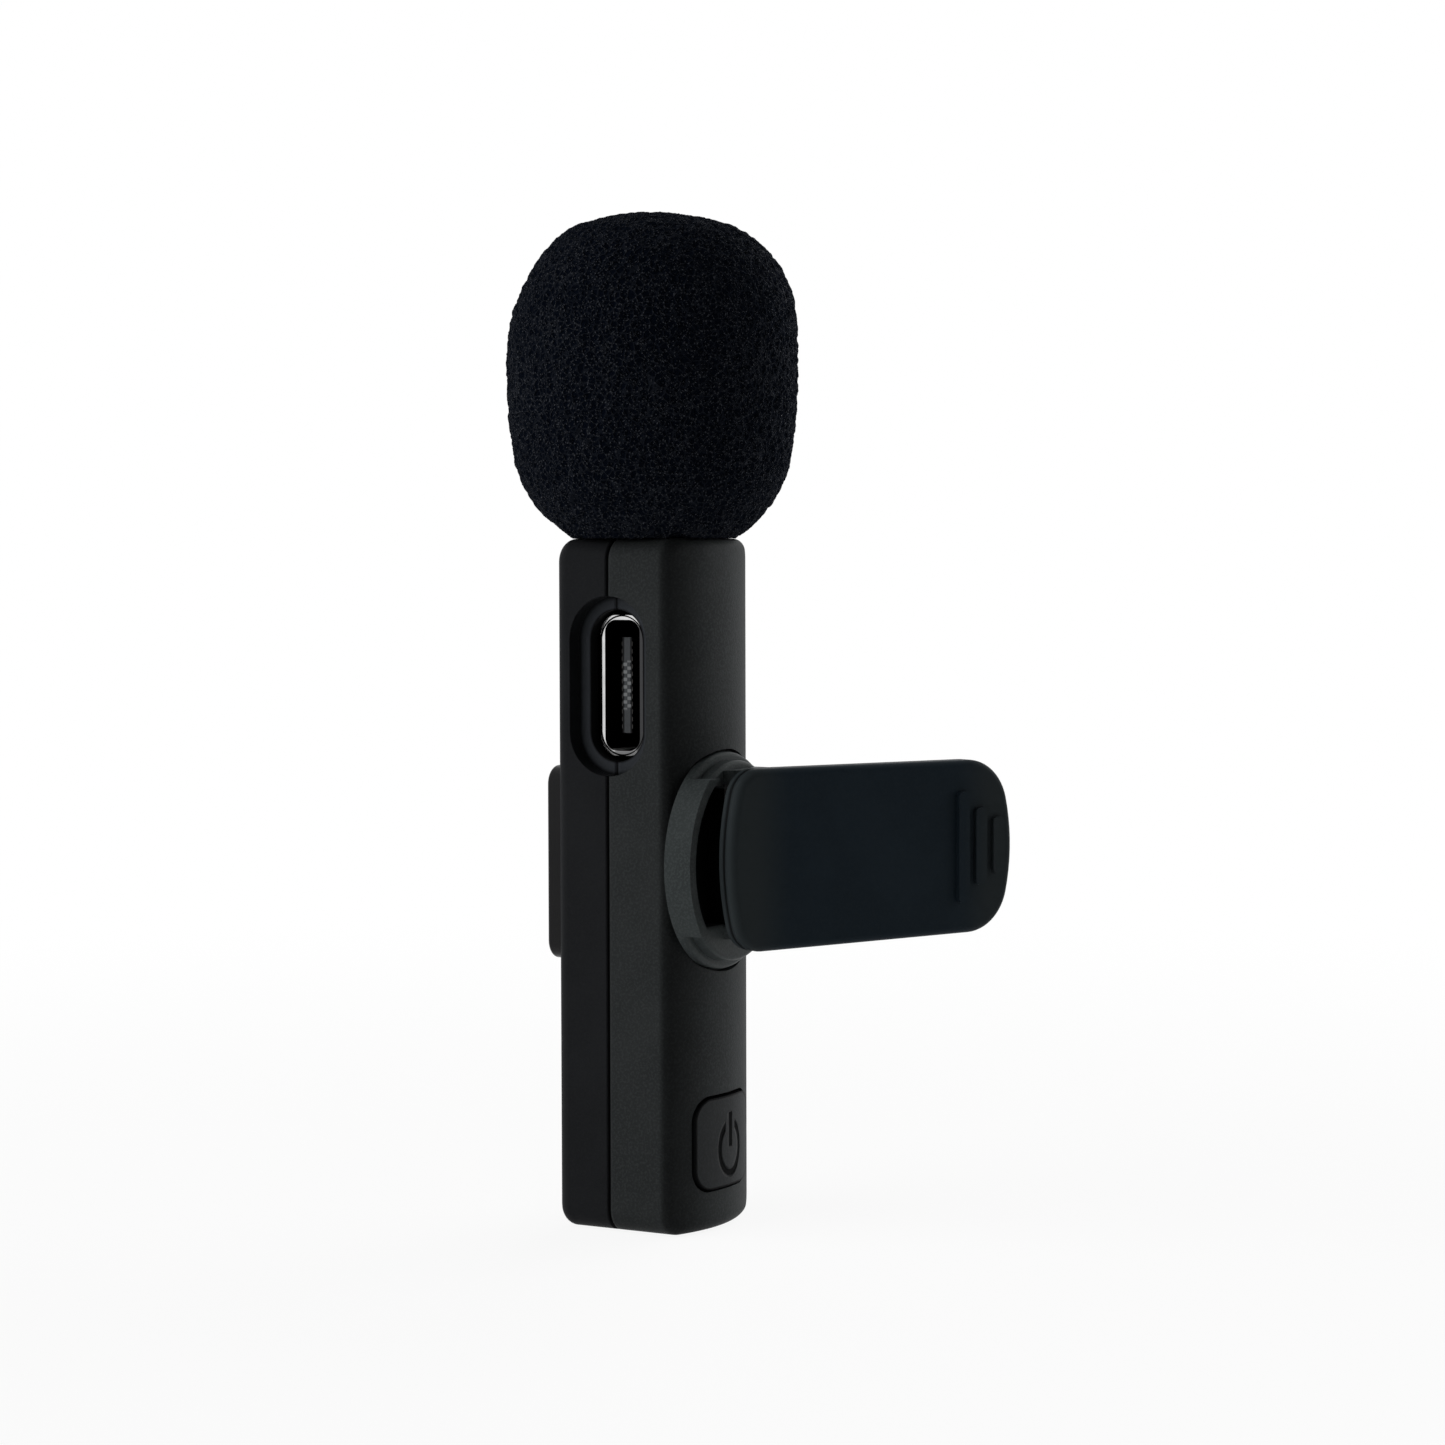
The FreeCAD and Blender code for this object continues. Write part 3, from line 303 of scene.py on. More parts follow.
throat = {  # painted shadow: black inside the jaw, up and down from the disc's middle
    "radius": 6.15,
    "height": 23.6,
    "above": 4.7,
    "below": -3.7,
    "belowFade": -4.2,
    "soft": 0.05,
    "black": (0.0012, 0.0013, 0.0014),
}


def throatShadow(sh, spot, tone, s):
    up = sh.part(spot, 2) - s["height"]
    reach = (sh.part(spot, 0) ** 2.0 + up * up) ** 0.5
    inside = sh.fade(reach, s["radius"] + s["soft"], s["radius"] - s["soft"])
    inside = inside * sh.fade(up, s["above"] + s["soft"], s["above"] - s["soft"])
    return sh.blendColour(inside * sh.fade(up, s["belowFade"], s["below"]), tone, s["black"])


leverEnds = {  # paler towards both ends of the lever
    "way": (-0.91, 0.4147, 0.0),
    "middle": 9.5,
    "from": 6.5,
    "full": 10.0,
    "pale": (0.022, 0.027, 0.029),
}


def endsTone(sh, spot, tone, s):
    off = abs(sh.along(spot, s["way"]) - s["middle"])
    return sh.blendColour(sh.fade(off, s["from"], s["full"]), tone, s["pale"])


shellSeam = {  # the dark joint between the shells lies in the plane Y = 0
    "way": (0.0, 1.0, 0.0),
    "at": 0.0,
    "half": 0.07,
    "soft": 0.03,
    "bevel": 0.16,
    "bevelStart": 0.05,
    "depth": 0.12,
    "darkness": 0.9,
    "black": (0.0012, 0.0013, 0.0014),
}
# the lever's skin is a second moulding: its joint runs round the edge, above the underside
leverSeam = dict(shellSeam, way=(0.4147, 0.91, 0.0), at=10.63, half=0.1, bevel=0.14)


def grainPlastic(name, s):
    # spark-eroded moulding: fine pits, a slow drift of tone, and the details that it names
    sh = Shader(name)
    spot = sh.place()
    drift, pits, tone = mottledTone(sh, spot, s)
    for addTone, detail in s["details"]:
        tone = addTone(sh, spot, tone, detail)
    groove = None
    if s["seam"]:
        seam = s["seam"]
        off = abs(sh.along(spot, seam["way"]) - seam["at"])
        line = sh.fade(off, seam["half"] + seam["soft"], seam["half"] - seam["soft"])
        tone = sh.blendColour(line * seam["darkness"], tone, seam["black"])
        wall = sh.fade(off, seam["half"] - seam["bevelStart"], seam["half"] + seam["bevel"])
        groove = sh.bump(wall, seam["depth"])
    return sh.finish({
        "Base Color": tone,
        "Roughness": sh.varied(s["roughness"], (drift, s["roughDrift"]), (pits, s["roughPits"])),
        "IOR": s["ior"],
        "Normal": sh.bump(pits, s["pitDepth"], s["pitStrength"], groove),
    })


shellBack = dict(moulding, dark=(0.0235, 0.0258, 0.0264), light=(0.0275, 0.0300, 0.0306),
                 seam=shellSeam, details=[(recessShading, recess), (crownShading, crown)])
# the front shell's darker tone is partly its own finish and partly painted shade on its half of the
# narrow face
shellFront = dict(moulding, dark=(0.0120, 0.0127, 0.0140), light=(0.0140, 0.0148, 0.0163),
                  fleck=(0.019, 0.020, 0.021), grain=0.25, pitDepth=0.015,
                  seam=shellSeam, details=[(recessShading, recess)])
clipPlastic = dict(moulding, dark=(0.033, 0.0385, 0.039), light=(0.039, 0.0455, 0.046),
                   fleck=(0.066, 0.075, 0.075), roughness=0.42, pitDepth=0.02, ior=1.15,
                   seam=None, details=[(throatShadow, throat)])
leverPlastic = dict(moulding, dark=(0.0105, 0.0168, 0.0228), light=(0.0123, 0.0192, 0.0258),
                    fleck=(0.022, 0.027, 0.029), grain=0.12, roughness=0.42, pitScale=5.0,
                    pitDepth=0.008, seam=leverSeam, details=[(endsTone, leverEnds)])

# the power mark, cut into the key: an oval ring open at its top and an upright bar
mark = {
    "across": -0.2,
    "height": 5.14,
    "halfWidth": 1.27,
    "halfHeight": 1.62,
    "strokeCore": 0.11,  # half the stroke's width, at its foot and at its edge
    "strokeEdge": 0.31,
    "openHalf": 0.6,
    "openSoft": 0.05,
    "lowerHalf": 0.1,
    "barLow": 5.22,
    "barHigh": 7.42,
    "barSoft": 0.06,
    "depth": 0.28,
    "outside": 4.2,  # only the key's outer face has the mark
    # painted shade: how far the cut strokes are blacked out
    "hollow": 0.8,
    "hollowRange": (0.5, 1.0),
}


def powerMark(sh, spot, s):
    # 1 in the cut strokes
    z = sh.part(spot, 2)
    u = sh.part(spot, 0) - s["across"]
    w = z - s["height"]
    reach = ((u / s["halfWidth"]) ** 2.0 + (w / s["halfHeight"]) ** 2.0) ** 0.5
    offRing = abs(reach - 1.0) * (s["halfWidth"] + s["halfHeight"]) / 2
    closed = sh.larger(
        sh.fade(abs(u), s["openHalf"] - s["openSoft"], s["openHalf"] + s["openSoft"]),
        sh.fade(w, s["lowerHalf"], -s["lowerHalf"]),
    )
    ring = sh.fade(offRing, s["strokeEdge"], s["strokeCore"]) * closed
    bar = sh.fade(abs(u), s["strokeEdge"], s["strokeCore"])
    bar = bar * sh.fade(z, s["barLow"] - s["barSoft"], s["barLow"] + s["barSoft"])
    bar = bar * sh.fade(z, s["barHigh"] + s["barSoft"], s["barHigh"] - s["barSoft"])
    return sh.larger(ring, bar) * (sh.part(spot, 1) > s["outside"])


keyShape = {  # the key's own outline, dark in the gap round it
    "across": -0.025,
    "middle": 5.6,
    "halfWidth": 3.325,
    "halfHeight": 2.9,
    "corner": 1.4,
    "band": 0.1,
    "soft": 0.04,
    "darkness": 0.9,
    "black": (0.0015, 0.0016, 0.0018),
}


def keyEdge(sh, spot, tone, s):
    aside = abs(sh.part(spot, 0) - s["across"]) - (s["halfWidth"] - s["corner"])
    upright = abs(sh.part(spot, 2) - s["middle"]) - (s["halfHeight"] - s["corner"])
    aside = sh.larger(aside, 0.0)
    upright = sh.larger(upright, 0.0)
    inward = s["corner"] - (aside * aside + upright * upright) ** 0.5
    edge = sh.fade(inward, s["band"] + s["soft"], s["band"] - s["soft"])
    return sh.blendColour(edge * s["darkness"], tone, s["black"])


def keyPlastic(name, s):
    sh = Shader(name)
    spot = sh.place()
    cut = powerMark(sh, spot, mark)
    drift, pits, tone = mottledTone(sh, spot, s)
    return sh.finish({
        "Base Color": keyEdge(sh, spot, tone, keyShape),
        "Roughness": sh.varied(s["roughness"], (drift, s["roughDrift"])),
        "IOR": s["ior"],
        "Normal": sh.bump(pits, s["pitDepth"], s["pitStrength"],
                          sh.bump(1.0 - cut, mark["depth"])),
    }, sh.fade(cut, *mark["hollowRange"]) * mark["hollow"])


keyFinish = dict(moulding, dark=(0.0300, 0.0315, 0.0330), light=(0.0350, 0.0370, 0.0385),
                 roughness=0.46, pitDepth=0.03)

foamLook = {
    "strut": (0.0440, 0.0480, 0.0580),
    "poreShade": (0.0013, 0.0023, 0.0052),
    "toneRange": (0.1, 0.95),
    "warpScale": 1.2,
    "warp": 0.35,
    "cellScale": 2.3,
    "cellRange": (0.03, 0.22),
    "cellShare": 0.3,
    "fineScale": 5.0,
    "fineRange": (0.5, 0.1),
    "fineShare": 0.7,
    "driftScale": 0.35,
    "driftShare": 0.2,
    "depth": 0.22,
    "roughness": 0.95,
    "roughShare": 0.15,
    "ior": 1.1,
}


def foamMaterial(name, s):
    # open cells: painted shade darkens the pores between lighter struts, at two sizes
    sh = Shader(name)
    spot = sh.place()
    spot = spot + sh.noise(spot, s["warpScale"]) * s["warp"]
    large = sh.cells(spot, s["cellScale"], "DISTANCE_TO_EDGE")
    struts = 1.0 - sh.fade(large, *s["cellRange"])
    tuft = sh.fade(sh.cells(spot, s["fineScale"]), *s["fineRange"])
    drift = sh.noise(spot, s["driftScale"])
    amount = struts * s["cellShare"] + tuft * s["fineShare"]
    amount = sh.varied(amount, (drift, s["driftShare"]))
    return sh.finish({
        "Base Color": sh.blendColour(sh.fade(amount, *s["toneRange"]), s["poreShade"], s["strut"]),
        "Roughness": s["roughness"] - amount * s["roughShare"],
        "IOR": s["ior"],
        "Normal": sh.bump(amount, s["depth"]),
    })


def cloudyTone(sh, spot, s):
    cloud = sh.noise(spot, s["cloudScale"], detail=3.0)
    return cloud, sh.blendColour(sh.fade(cloud, *s["cloudRange"]), s["dark"], s["light"])


def brushedMetal(name, s):
    # plated or drawn metal with fine lines along one axis
    sh = Shader(name)
    spot = sh.place()
    lines = sh.noise(spot * s["stretch"], s["lineScale"])
    cloud, tone = cloudyTone(sh, spot, s)
    return sh.finish({
        "Base Color": tone,
        "Metallic": 1.0,
        "Roughness": sh.varied(s["roughness"], (lines, s["roughLines"]), (cloud, s["roughCloud"])),
        "Normal": sh.bump(lines, s["lineDepth"], s["lineStrength"]),
    })


# what the metals share
metal = {
    "cloudScale": 0.8,
    "cloudRange": (0.3, 0.7),
    "roughCloud": 0.08,
    "roughLines": 0.12,
    "lineStrength": 0.4,
}
metals = {
    "platedSteel": dict(metal, dark=(0.52, 0.53, 0.54), light=(0.66, 0.66, 0.67),
                        roughness=0.24, stretch=(0.4, 6.0, 6.0), lineScale=3.0, lineDepth=0.004),
    "wireSteel": dict(metal, dark=(0.30, 0.30, 0.31), light=(0.42, 0.42, 0.43),
                      roughness=0.32, stretch=(4.0, 4.0, 4.0), lineScale=4.0, lineDepth=0.004),
    # the contacts' tin is darkened as painted shade, deep inside the socket
    "tinPlate": dict(metal, dark=(0.05, 0.05, 0.05), light=(0.09, 0.088, 0.085),
                     roughness=0.4, stretch=(0.5, 5.0, 5.0), lineScale=4.0, lineDepth=0.002),
    "cellFoil": dict(metal, dark=(0.5, 0.51, 0.52), light=(0.62, 0.63, 0.64),
                     roughness=0.35, stretch=(1.0, 1.0, 1.0), lineScale=0.8, lineDepth=0.03),
}

# the socket's metal sleeve, sizes from the socket's middle
sleeve = {
    "dark": (0.60, 0.60, 0.60),
    "light": (0.72, 0.72, 0.72),
    "deepShade": (0.02, 0.02, 0.021),
    "sideShade": (0.05, 0.05, 0.052),
    "cloudScale": 0.8,
    "cloudRange": (0.3, 0.7),
    "roughness": 0.14,
    "roughScratch": 0.1,
    "roughInside": 0.3,
    "roughGlint": 0.2,
    "stretch": (0.5, 5.0, 5.0),
    "scratchScale": 3.0,
    "scratchDepth": 0.003,
    "scratchStrength": 0.4,
    "height": 34.77,
    "straight": 2.89,
    "mouth": 3.39,  # bright from here outwards, painted shade darkens it from insideFrom inwards
    "insideFrom": 3.26,
    "outer": 1.6,  # the lip is rolled over between these two
    "rollEnd": 1.48,
    "rollDepth": 0.06,
    "side": (0.7, 1.15),  # painted shade darkens one side and the foot
    "sideTop": (4.1, 3.6),
    "foot": (-3.9, -4.25),
    "footShare": 0.8,
    # painted highlight: a small glint on the inner wall near the foot
    "glintAt": (-0.65, -3.95),
    "glint": (0.32, 0.192),
}


def socketSteel(name, s):
    # plated sleeve, bright at its mouth, with painted shade further in, on one side and at its foot,
    # and a painted highlight on its inner wall
    sh = Shader(name)
    spot = sh.place()
    y = sh.part(spot, 1)
    up = sh.part(spot, 2) - s["height"]
    tone = cloudyTone(sh, spot, s)[1]
    scratch = sh.noise(spot * s["stretch"], s["scratchScale"])
    inside = sh.fade(sh.part(spot, 0), s["mouth"], s["insideFrom"])
    rolled = sh.fade(sh.stadium(spot, s), s["outer"], s["rollEnd"])
    shadeMask = sh.fade(y, *s["side"]) * sh.fade(up, *s["sideTop"])
    shadeMask = sh.larger(shadeMask, sh.fade(up, *s["foot"]) * s["footShare"])
    tone = sh.blendColour(shadeMask, tone, s["sideShade"])
    tone = sh.blendColour(inside, tone, s["deepShade"])
    apart = ((y - s["glintAt"][0]) ** 2.0 + (up - s["glintAt"][1]) ** 2.0) ** 0.5
    glint = sh.fade(apart, *s["glint"])
    rough = sh.varied(s["roughness"], (scratch, s["roughScratch"])) + inside * s["roughInside"]
    return sh.finish({
        "Base Color": sh.blendColour(glint, tone, s["light"]),
        "Metallic": 1.0,
        "Roughness": rough + glint * s["roughGlint"],
        "Normal": sh.bump(scratch, s["scratchDepth"], s["scratchStrength"],
                          sh.bump(rolled, s["rollDepth"])),
    })


# the tongue in the socket, sizes from the socket's middle
tongueEnd = {
    "body": (0.004, 0.004, 0.0045),
    "strip": (0.075, 0.08, 0.085),
    "dot": (0.24, 0.25, 0.255),
    "end": (2.74, 2.79),
    "height": 34.77,
    "half": (0.27, 0.17),
    "rowsHalf": (1.65, 1.45),
    "rowOut": (0.3, 0.24),
    "rowMiddle": 0.06,
    "pitch": 0.48,
    "dotRange": (-0.2, 0.6),
    "stripLeast": 0.75,
    "stripMottle": 0.5,
    "mottleScale": 4.0,
    "roughness": 0.45,
    "roughMottle": 0.2,
    "ior": 1.2,
    "depth": 0.01,
    "strength": 0.4,
}


def tongueMaterial(name, s):
    # black tongue, its end paler, with two staggered rows of contact ends
    sh = Shader(name)
    spot = sh.place()
    y = sh.part(spot, 1)
    z = sh.part(spot, 2) - s["height"]
    mottle = sh.noise(spot, s["mottleScale"])
    front = sh.fade(sh.part(spot, 0), *s["end"])
    strip = front * sh.fade(abs(y), *s["half"])
    strip = strip * (s["stripLeast"] + mottle * s["stripMottle"])
    # the sign of the wave changes from row to row, so the rows stand half a pitch apart
    wave = sh.node("Math", {"operation": "SINE"}, {0: z * (2 * math.pi / s["pitch"])})
    side = sh.fade(y, -s["rowMiddle"], s["rowMiddle"]) * 2.0 - 1.0
    dots = front * sh.fade(abs(z), *s["rowsHalf"]) * sh.fade(abs(y), *s["rowOut"])
    dots = dots * sh.fade(wave * side, *s["dotRange"])
    tone = sh.blendColour(strip, s["body"], s["strip"])
    return sh.finish({
        "Base Color": sh.blendColour(dots, tone, s["dot"]),
        "Roughness": sh.varied(s["roughness"], (mottle, s["roughMottle"])),
        "IOR": s["ior"],
        "Normal": sh.bump(mottle, s["depth"], s["strength"]),
    })


def mouldedPlastic(name, s):
    # smooth moulding with a slow drift of tone and faint flow marks
    sh = Shader(name)
    spot = sh.place()
    drift = sh.noise(spot, s["scale"], detail=3.0)
    fine = sh.noise(spot, s["scale"] * s["fineness"])
    return sh.finish({
        "Base Color": sh.blendColour(sh.fade(drift, *s["driftRange"]), s["dark"], s["light"]),
        "Roughness": sh.varied(s["roughness"], (drift, s["roughDrift"]), (fine, s["roughFine"])),
        "IOR": s["ior"],
        "Coat Weight": s["coat"],
        "Normal": sh.bump(fine, s["depth"], s["strength"]),
    })


# what the smooth mouldings share
smooth = {
    "driftRange": (0.3, 0.7),
    "fineness": 14,  # flow marks to one drift of tone
    "roughDrift": 0.1,
    "roughFine": 0.06,
    "ior": 1.4,
    "coat": 0.0,
    "strength": 0.5,
}
smoothMouldings = {
    "badgeGloss": dict(smooth, dark=(0.005, 0.005, 0.0055), light=(0.0062, 0.0062, 0.0067),
                       roughness=0.2, ior=1.2, scale=0.2, depth=0.002, coat=0.1),
    "blackMoulding": dict(smooth, dark=(0.009, 0.009, 0.01), light=(0.014, 0.014, 0.015),
                          roughness=0.4, scale=0.6, depth=0.006),
    "whiteMoulding": dict(smooth, dark=(0.62, 0.62, 0.6), light=(0.72, 0.72, 0.7),
                          roughness=0.4, scale=0.8, depth=0.004),
    "nylonMoulding": dict(smooth, dark=(0.52, 0.5, 0.44), light=(0.6, 0.58, 0.52),
                          roughness=0.5, scale=0.8, depth=0.006),
    "blackRubber": dict(smooth, dark=(0.008, 0.008, 0.008), light=(0.013, 0.013, 0.013),
                        roughness=0.75, ior=1.2, scale=1.2, depth=0.01),
    "redJacket": dict(smooth, dark=(0.28, 0.015, 0.012), light=(0.36, 0.02, 0.016),
                      roughness=0.45, scale=1.2, depth=0.004),
    "brownCeramic": dict(smooth, dark=(0.18, 0.11, 0.06), light=(0.24, 0.15, 0.09),
                         roughness=0.5, scale=2.0, depth=0.004),
    "tubeBlack": dict(smooth, dark=(0.01, 0.01, 0.01), light=(0.014, 0.014, 0.014),
                      roughness=0.5, scale=0.8, depth=0.006),
    "feltBlack": dict(smooth, dark=(0.006, 0.006, 0.006), light=(0.012, 0.012, 0.012),
                      roughness=0.95, ior=1.2, scale=3.0, depth=0.03),
}

pipeLook = {
    "dark": (0.35, 0.37, 0.38),
    "light": (0.5, 0.52, 0.53),
    "hazeScale": 3.0,
    "litFrom": (4.4, 4.7),  # the status light shows at the pipe's outer end
    "lit": 0.22,
    "litLeast": 0.8,
    "litHaze": 0.2,
    "roughness": 0.35,
    "roughHaze": 0.2,
    "ior": 1.45,
    "depth": 0.01,
    "strength": 0.4,
}


def clearPlastic(name, s):
    # a frosted light pipe with a faint milky body
    sh = Shader(name)
    spot = sh.place()
    haze = sh.noise(spot, s["hazeScale"], detail=3.0)
    lit = sh.fade(sh.part(spot, 1), *s["litFrom"]) * (s["litLeast"] + haze * s["litHaze"])
    return sh.finish({
        "Base Color": sh.blendColour(haze, s["dark"], s["light"]),
        "Roughness": sh.varied(s["roughness"], (haze, s["roughHaze"])),
        "IOR": s["ior"],
        "Emission Color": sh.blendColour(lit, (0.0, 0.0, 0.0), (1.0, 1.0, 1.0)),
        "Emission Strength": s["lit"],
        "Normal": sh.bump(haze, s["depth"], s["strength"]),
    })


boardLook = {
    "dark": (0.008, 0.06, 0.025),
    "light": (0.012, 0.08, 0.035),
    "mottleScale": 1.5,
    "track": (0.05, 0.16, 0.06),
    "trackStretch": (1.0, 0.1, 1.0),
    "trackScale": 0.9,
    "trackWidth": (0.09, 0.05),
    "trackShare": 0.6,
    "edgeShade": (0.0015, 0.0015, 0.0015),
    "edgeShadeFrom": (1.2, 0.9),  # how far the painted shade reaches in from the edge beside the socket
    "roughness": 0.35,
    "roughMottle": 0.1,
    "ior": 1.3,
    "depth": 0.03,
    "strength": 0.6,
}


def boardMask(name, s):
    # green solder mask over copper tracks, with painted shade blacking it out along the edge beside
    # the socket
    sh = Shader(name)
    spot = sh.place()
    tracks = sh.cells(spot * s["trackStretch"], s["trackScale"], "DISTANCE_TO_EDGE")
    raised = sh.fade(tracks, *s["trackWidth"])
    mottle = sh.noise(spot, s["mottleScale"], detail=3.0)
    tone = sh.blendColour(mottle, s["dark"], s["light"])
    tone = sh.blendColour(raised * s["trackShare"], tone, s["track"])
    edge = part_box("circuit_board")[1][0] / mm
    shadedEdge = sh.fade(sh.part(spot, 0), *(edge - inward for inward in s["edgeShadeFrom"]))
    return sh.finish({
        "Base Color": sh.blendColour(shadedEdge, tone, s["edgeShade"]),
        "Roughness": sh.varied(s["roughness"], (mottle, s["roughMottle"])),
        "IOR": s["ior"],
        "Normal": sh.bump(raised, s["depth"], s["strength"]),
    })


looks = {
    "shellFront": grainPlastic("shellFront", shellFront),
    "shellBack": grainPlastic("shellBack", shellBack),
    "clipBase": grainPlastic("clipBase", clipPlastic),
    "leverPlastic": grainPlastic("leverPlastic", leverPlastic),
    "keyPlastic": keyPlastic("keyPlastic", keyFinish),
    "foamBlack": foamMaterial("foamBlack", foamLook),
    "socketSteel": socketSteel("socketSteel", sleeve),
    "tonguePlastic": tongueMaterial("tonguePlastic", tongueEnd),
    "clearPlastic": clearPlastic("clearPlastic", pipeLook),
    "boardMask": boardMask("boardMask", boardLook),
}
for name, finish in metals.items():
    looks[name] = brushedMetal(name, finish)
for name, finish in smoothMouldings.items():
    looks[name] = mouldedPlastic(name, finish)

wears = {
    "shellFront": ["front_shell"],
    "shellBack": ["back_shell"],
    "clipBase": ["clip_base"],
    "leverPlastic": ["clip_lever"],
    "keyPlastic": ["power_button"],
    "badgeGloss": ["badge_plate"],
    "socketSteel": ["usb_shell"],
    "tonguePlastic": ["usb_tongue"],
    "platedSteel": ["head_mesh", "crystal", "swivel_screw", "swivel_washer", "clip_pin",
                    "capsule_can"],
    "wireSteel": ["clip_spring"],
    "tinPlate": ["usb_contacts"],
    "cellFoil": ["battery_cell"],
    "blackMoulding": ["switch_body", "radio_chip", "audio_chip", "charger_chip"],
    "whiteMoulding": ["switch_plunger", "status_led", "chip_antenna"],
    "nylonMoulding": ["swivel_ring"],
    "blackRubber": ["capsule_gasket", "battery_tape"],
    "redJacket": ["mic_leads", "battery_leads"],
    "brownCeramic": ["small_parts"],
    "tubeBlack": ["head_tube"],
    "feltBlack": ["dust_felt"],
    "clearPlastic": ["light_pipe"],
    "boardMask": ["circuit_board", "capsule_board"],
}


def dressNodes():
    for look, nodes in wears.items():
        for node in nodes:
            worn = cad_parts[node].data.materials
            worn.clear()
            worn.append(looks[look])


dressNodes()
print("frame dressed")

# the foam ball: its outline in millimetres, then cells pressed into the skin
foam = {
    "axis": (0.0, 0.3),
    "foot": 44.11,
    "socket": 3.1,
    "socketTop": 54.8,
    "socketRings": (0.0, 1.1, 2.2),
    "wallRows": 20,
    "rim": 0.25,
    "rimBevel": 0.08,
    "footStart": 3.5,
    "footEdge": 5.15,
    "footRows": 10,
    "step": 0.13,
    "spokes": 448,  # points round a ring, halved while they stand closer than the tightest
    "fewest": 10,
    "tightest": 0.62,  # in steps
    "press": 0.34,
    "lift": 0.13,
    "cells": [  # size, shift, seed, reach in sizes, share of the press
        (0.62, 0.0, 11, 0.75, 0.7),
        (0.3, 3.7, 5, 0.8, 0.3),
    ],
    "lumps": [  # soft dents and swellings: place on the skin, reach, way out
        ((3.8, -6.7, 61.0), 3.2, -0.5),
        ((-3.6, 7.2, 61.2), 3.0, 0.18),
        ((2.9, -5.0, 44.9), 1.6, -0.15),
    ],
    "arcs": [  # where each stretch ends and the radius that it bends with
        ((8.98, 50.3), 7.8),
        ((9.18, 57.7), 36.0),
        ((5.45, 63.8), 7.56),
        ((0.0, 64.82), 16.0),
    ],
}


def arcPoints(start, end, radius, step):
    a, b = np.array(start), np.array(end)
    chord = b - a
    half = np.linalg.norm(chord) / 2
    inward = np.array([-chord[1], chord[0]]) / (2 * half)
    centre = (a + b) / 2 + inward * math.sqrt(radius**2 - half**2)
    first = math.atan2(*(a - centre)[::-1])
    turn = 2 * math.asin(half / radius)
    count = max(2, round(turn * radius / step))
    angles = first + turn * np.arange(1, count + 1) / count
    return [centre + radius * np.array([math.cos(t), math.sin(t)]) for t in angles]


def foamOutline(s):
    # the socket's end and wall, the foot, then the skin, and how many points come before the skin
    wallFoot = s["foot"] + s["rim"]
    points = [np.array([r, s["socketTop"]]) for r in s["socketRings"]]
    points += [np.array([s["socket"], z])
               for z in np.linspace(s["socketTop"], wallFoot, s["wallRows"])]
    points.append(np.array([s["socket"] + s["rimBevel"], s["foot"] + s["rimBevel"]]))
    points.append(np.array([s["socket"] + s["rim"], s["foot"]]))
    points += [np.array([r, s["foot"]])
               for r in np.linspace(s["footStart"], s["footEdge"], s["footRows"])]
    plain = len(points)
    for end, radius in s["arcs"]:
        points += arcPoints(points[-1], end, radius, s["step"])
    return points, plain


scatter = {  # large numbers that mix a cell's place on the grid into a place in the cell
    "axes": (73856093, 19349663, 83492791),
    "spreads": (1274126177, 668265263, 374761393),
    "fold": 13,
    "bits": 0xFFFF,
}


def nearestCell(spots, size, seed, s):
    # distance to the nearest of the scattered cell centres, in cell sizes
    grid = spots / size
    home = np.floor(grid).astype(np.int64)
    nearest = np.full(len(spots), np.inf)
    for shift in np.ndindex(3, 3, 3):
        cell = home + np.array(shift) - 1
        mixed = (cell * np.array(s["axes"])).sum(1) + seed
        mixed = mixed ^ (mixed >> s["fold"])
        offset = np.stack([((mixed * k) & s["bits"]) / s["bits"] for k in s["spreads"]], 1)
        nearest = np.minimum(nearest, np.linalg.norm(cell + offset - grid, axis=1))
    return nearest


def ringCount(s, radius):
    count = s["spokes"]
    while count > s["fewest"] and radius * 2 * math.pi / count < s["step"] * s["tightest"]:
        count //= 2
    return count


def bridge(a, na, b, nb):
    # faces between two rings, one of which may have twice or half the points
    if na == 1:
        return [(a, b + (j + 1) % nb, b + j) for j in range(nb)]
    if nb == 1:
        return [(a + j, a + (j + 1) % na, b) for j in range(na)]
    if na == nb:
        return [(a + j, a + (j + 1) % na, b + (j + 1) % nb, b + j) for j in range(na)]
    made = []
    if na == 2 * nb:
        for j in range(nb):
            p, q, r = a + 2 * j, a + 2 * j + 1, a + (2 * j + 2) % na
            made += [(p, q, b + j), (q, b + (j + 1) % nb, b + j), (q, r, b + (j + 1) % nb)]
        return made
    for j in range(na):
        p, q, r = b + 2 * j, b + 2 * j + 1, b + (2 * j + 2) % nb
        made += [(q, p, a + j), (a + (j + 1) % na, q, a + j), (r, q, a + (j + 1) % na)]
    return made


def foamPush(spots, s):
    # how far out each point goes: pressed cells of two sizes, then the soft lumps
    pressed = 0
    for size, shift, seed, reach, share in s["cells"]:
        away = nearestCell(spots + shift, size, seed, scatter)
        pressed = pressed + np.clip(1 - away / reach, 0, 1) * share
    push = s["lift"] - s["press"] * pressed
    for place, reach, out in s["lumps"]:
        push += out * np.exp(-((spots - place) ** 2).sum(1) / reach**2)
    return push


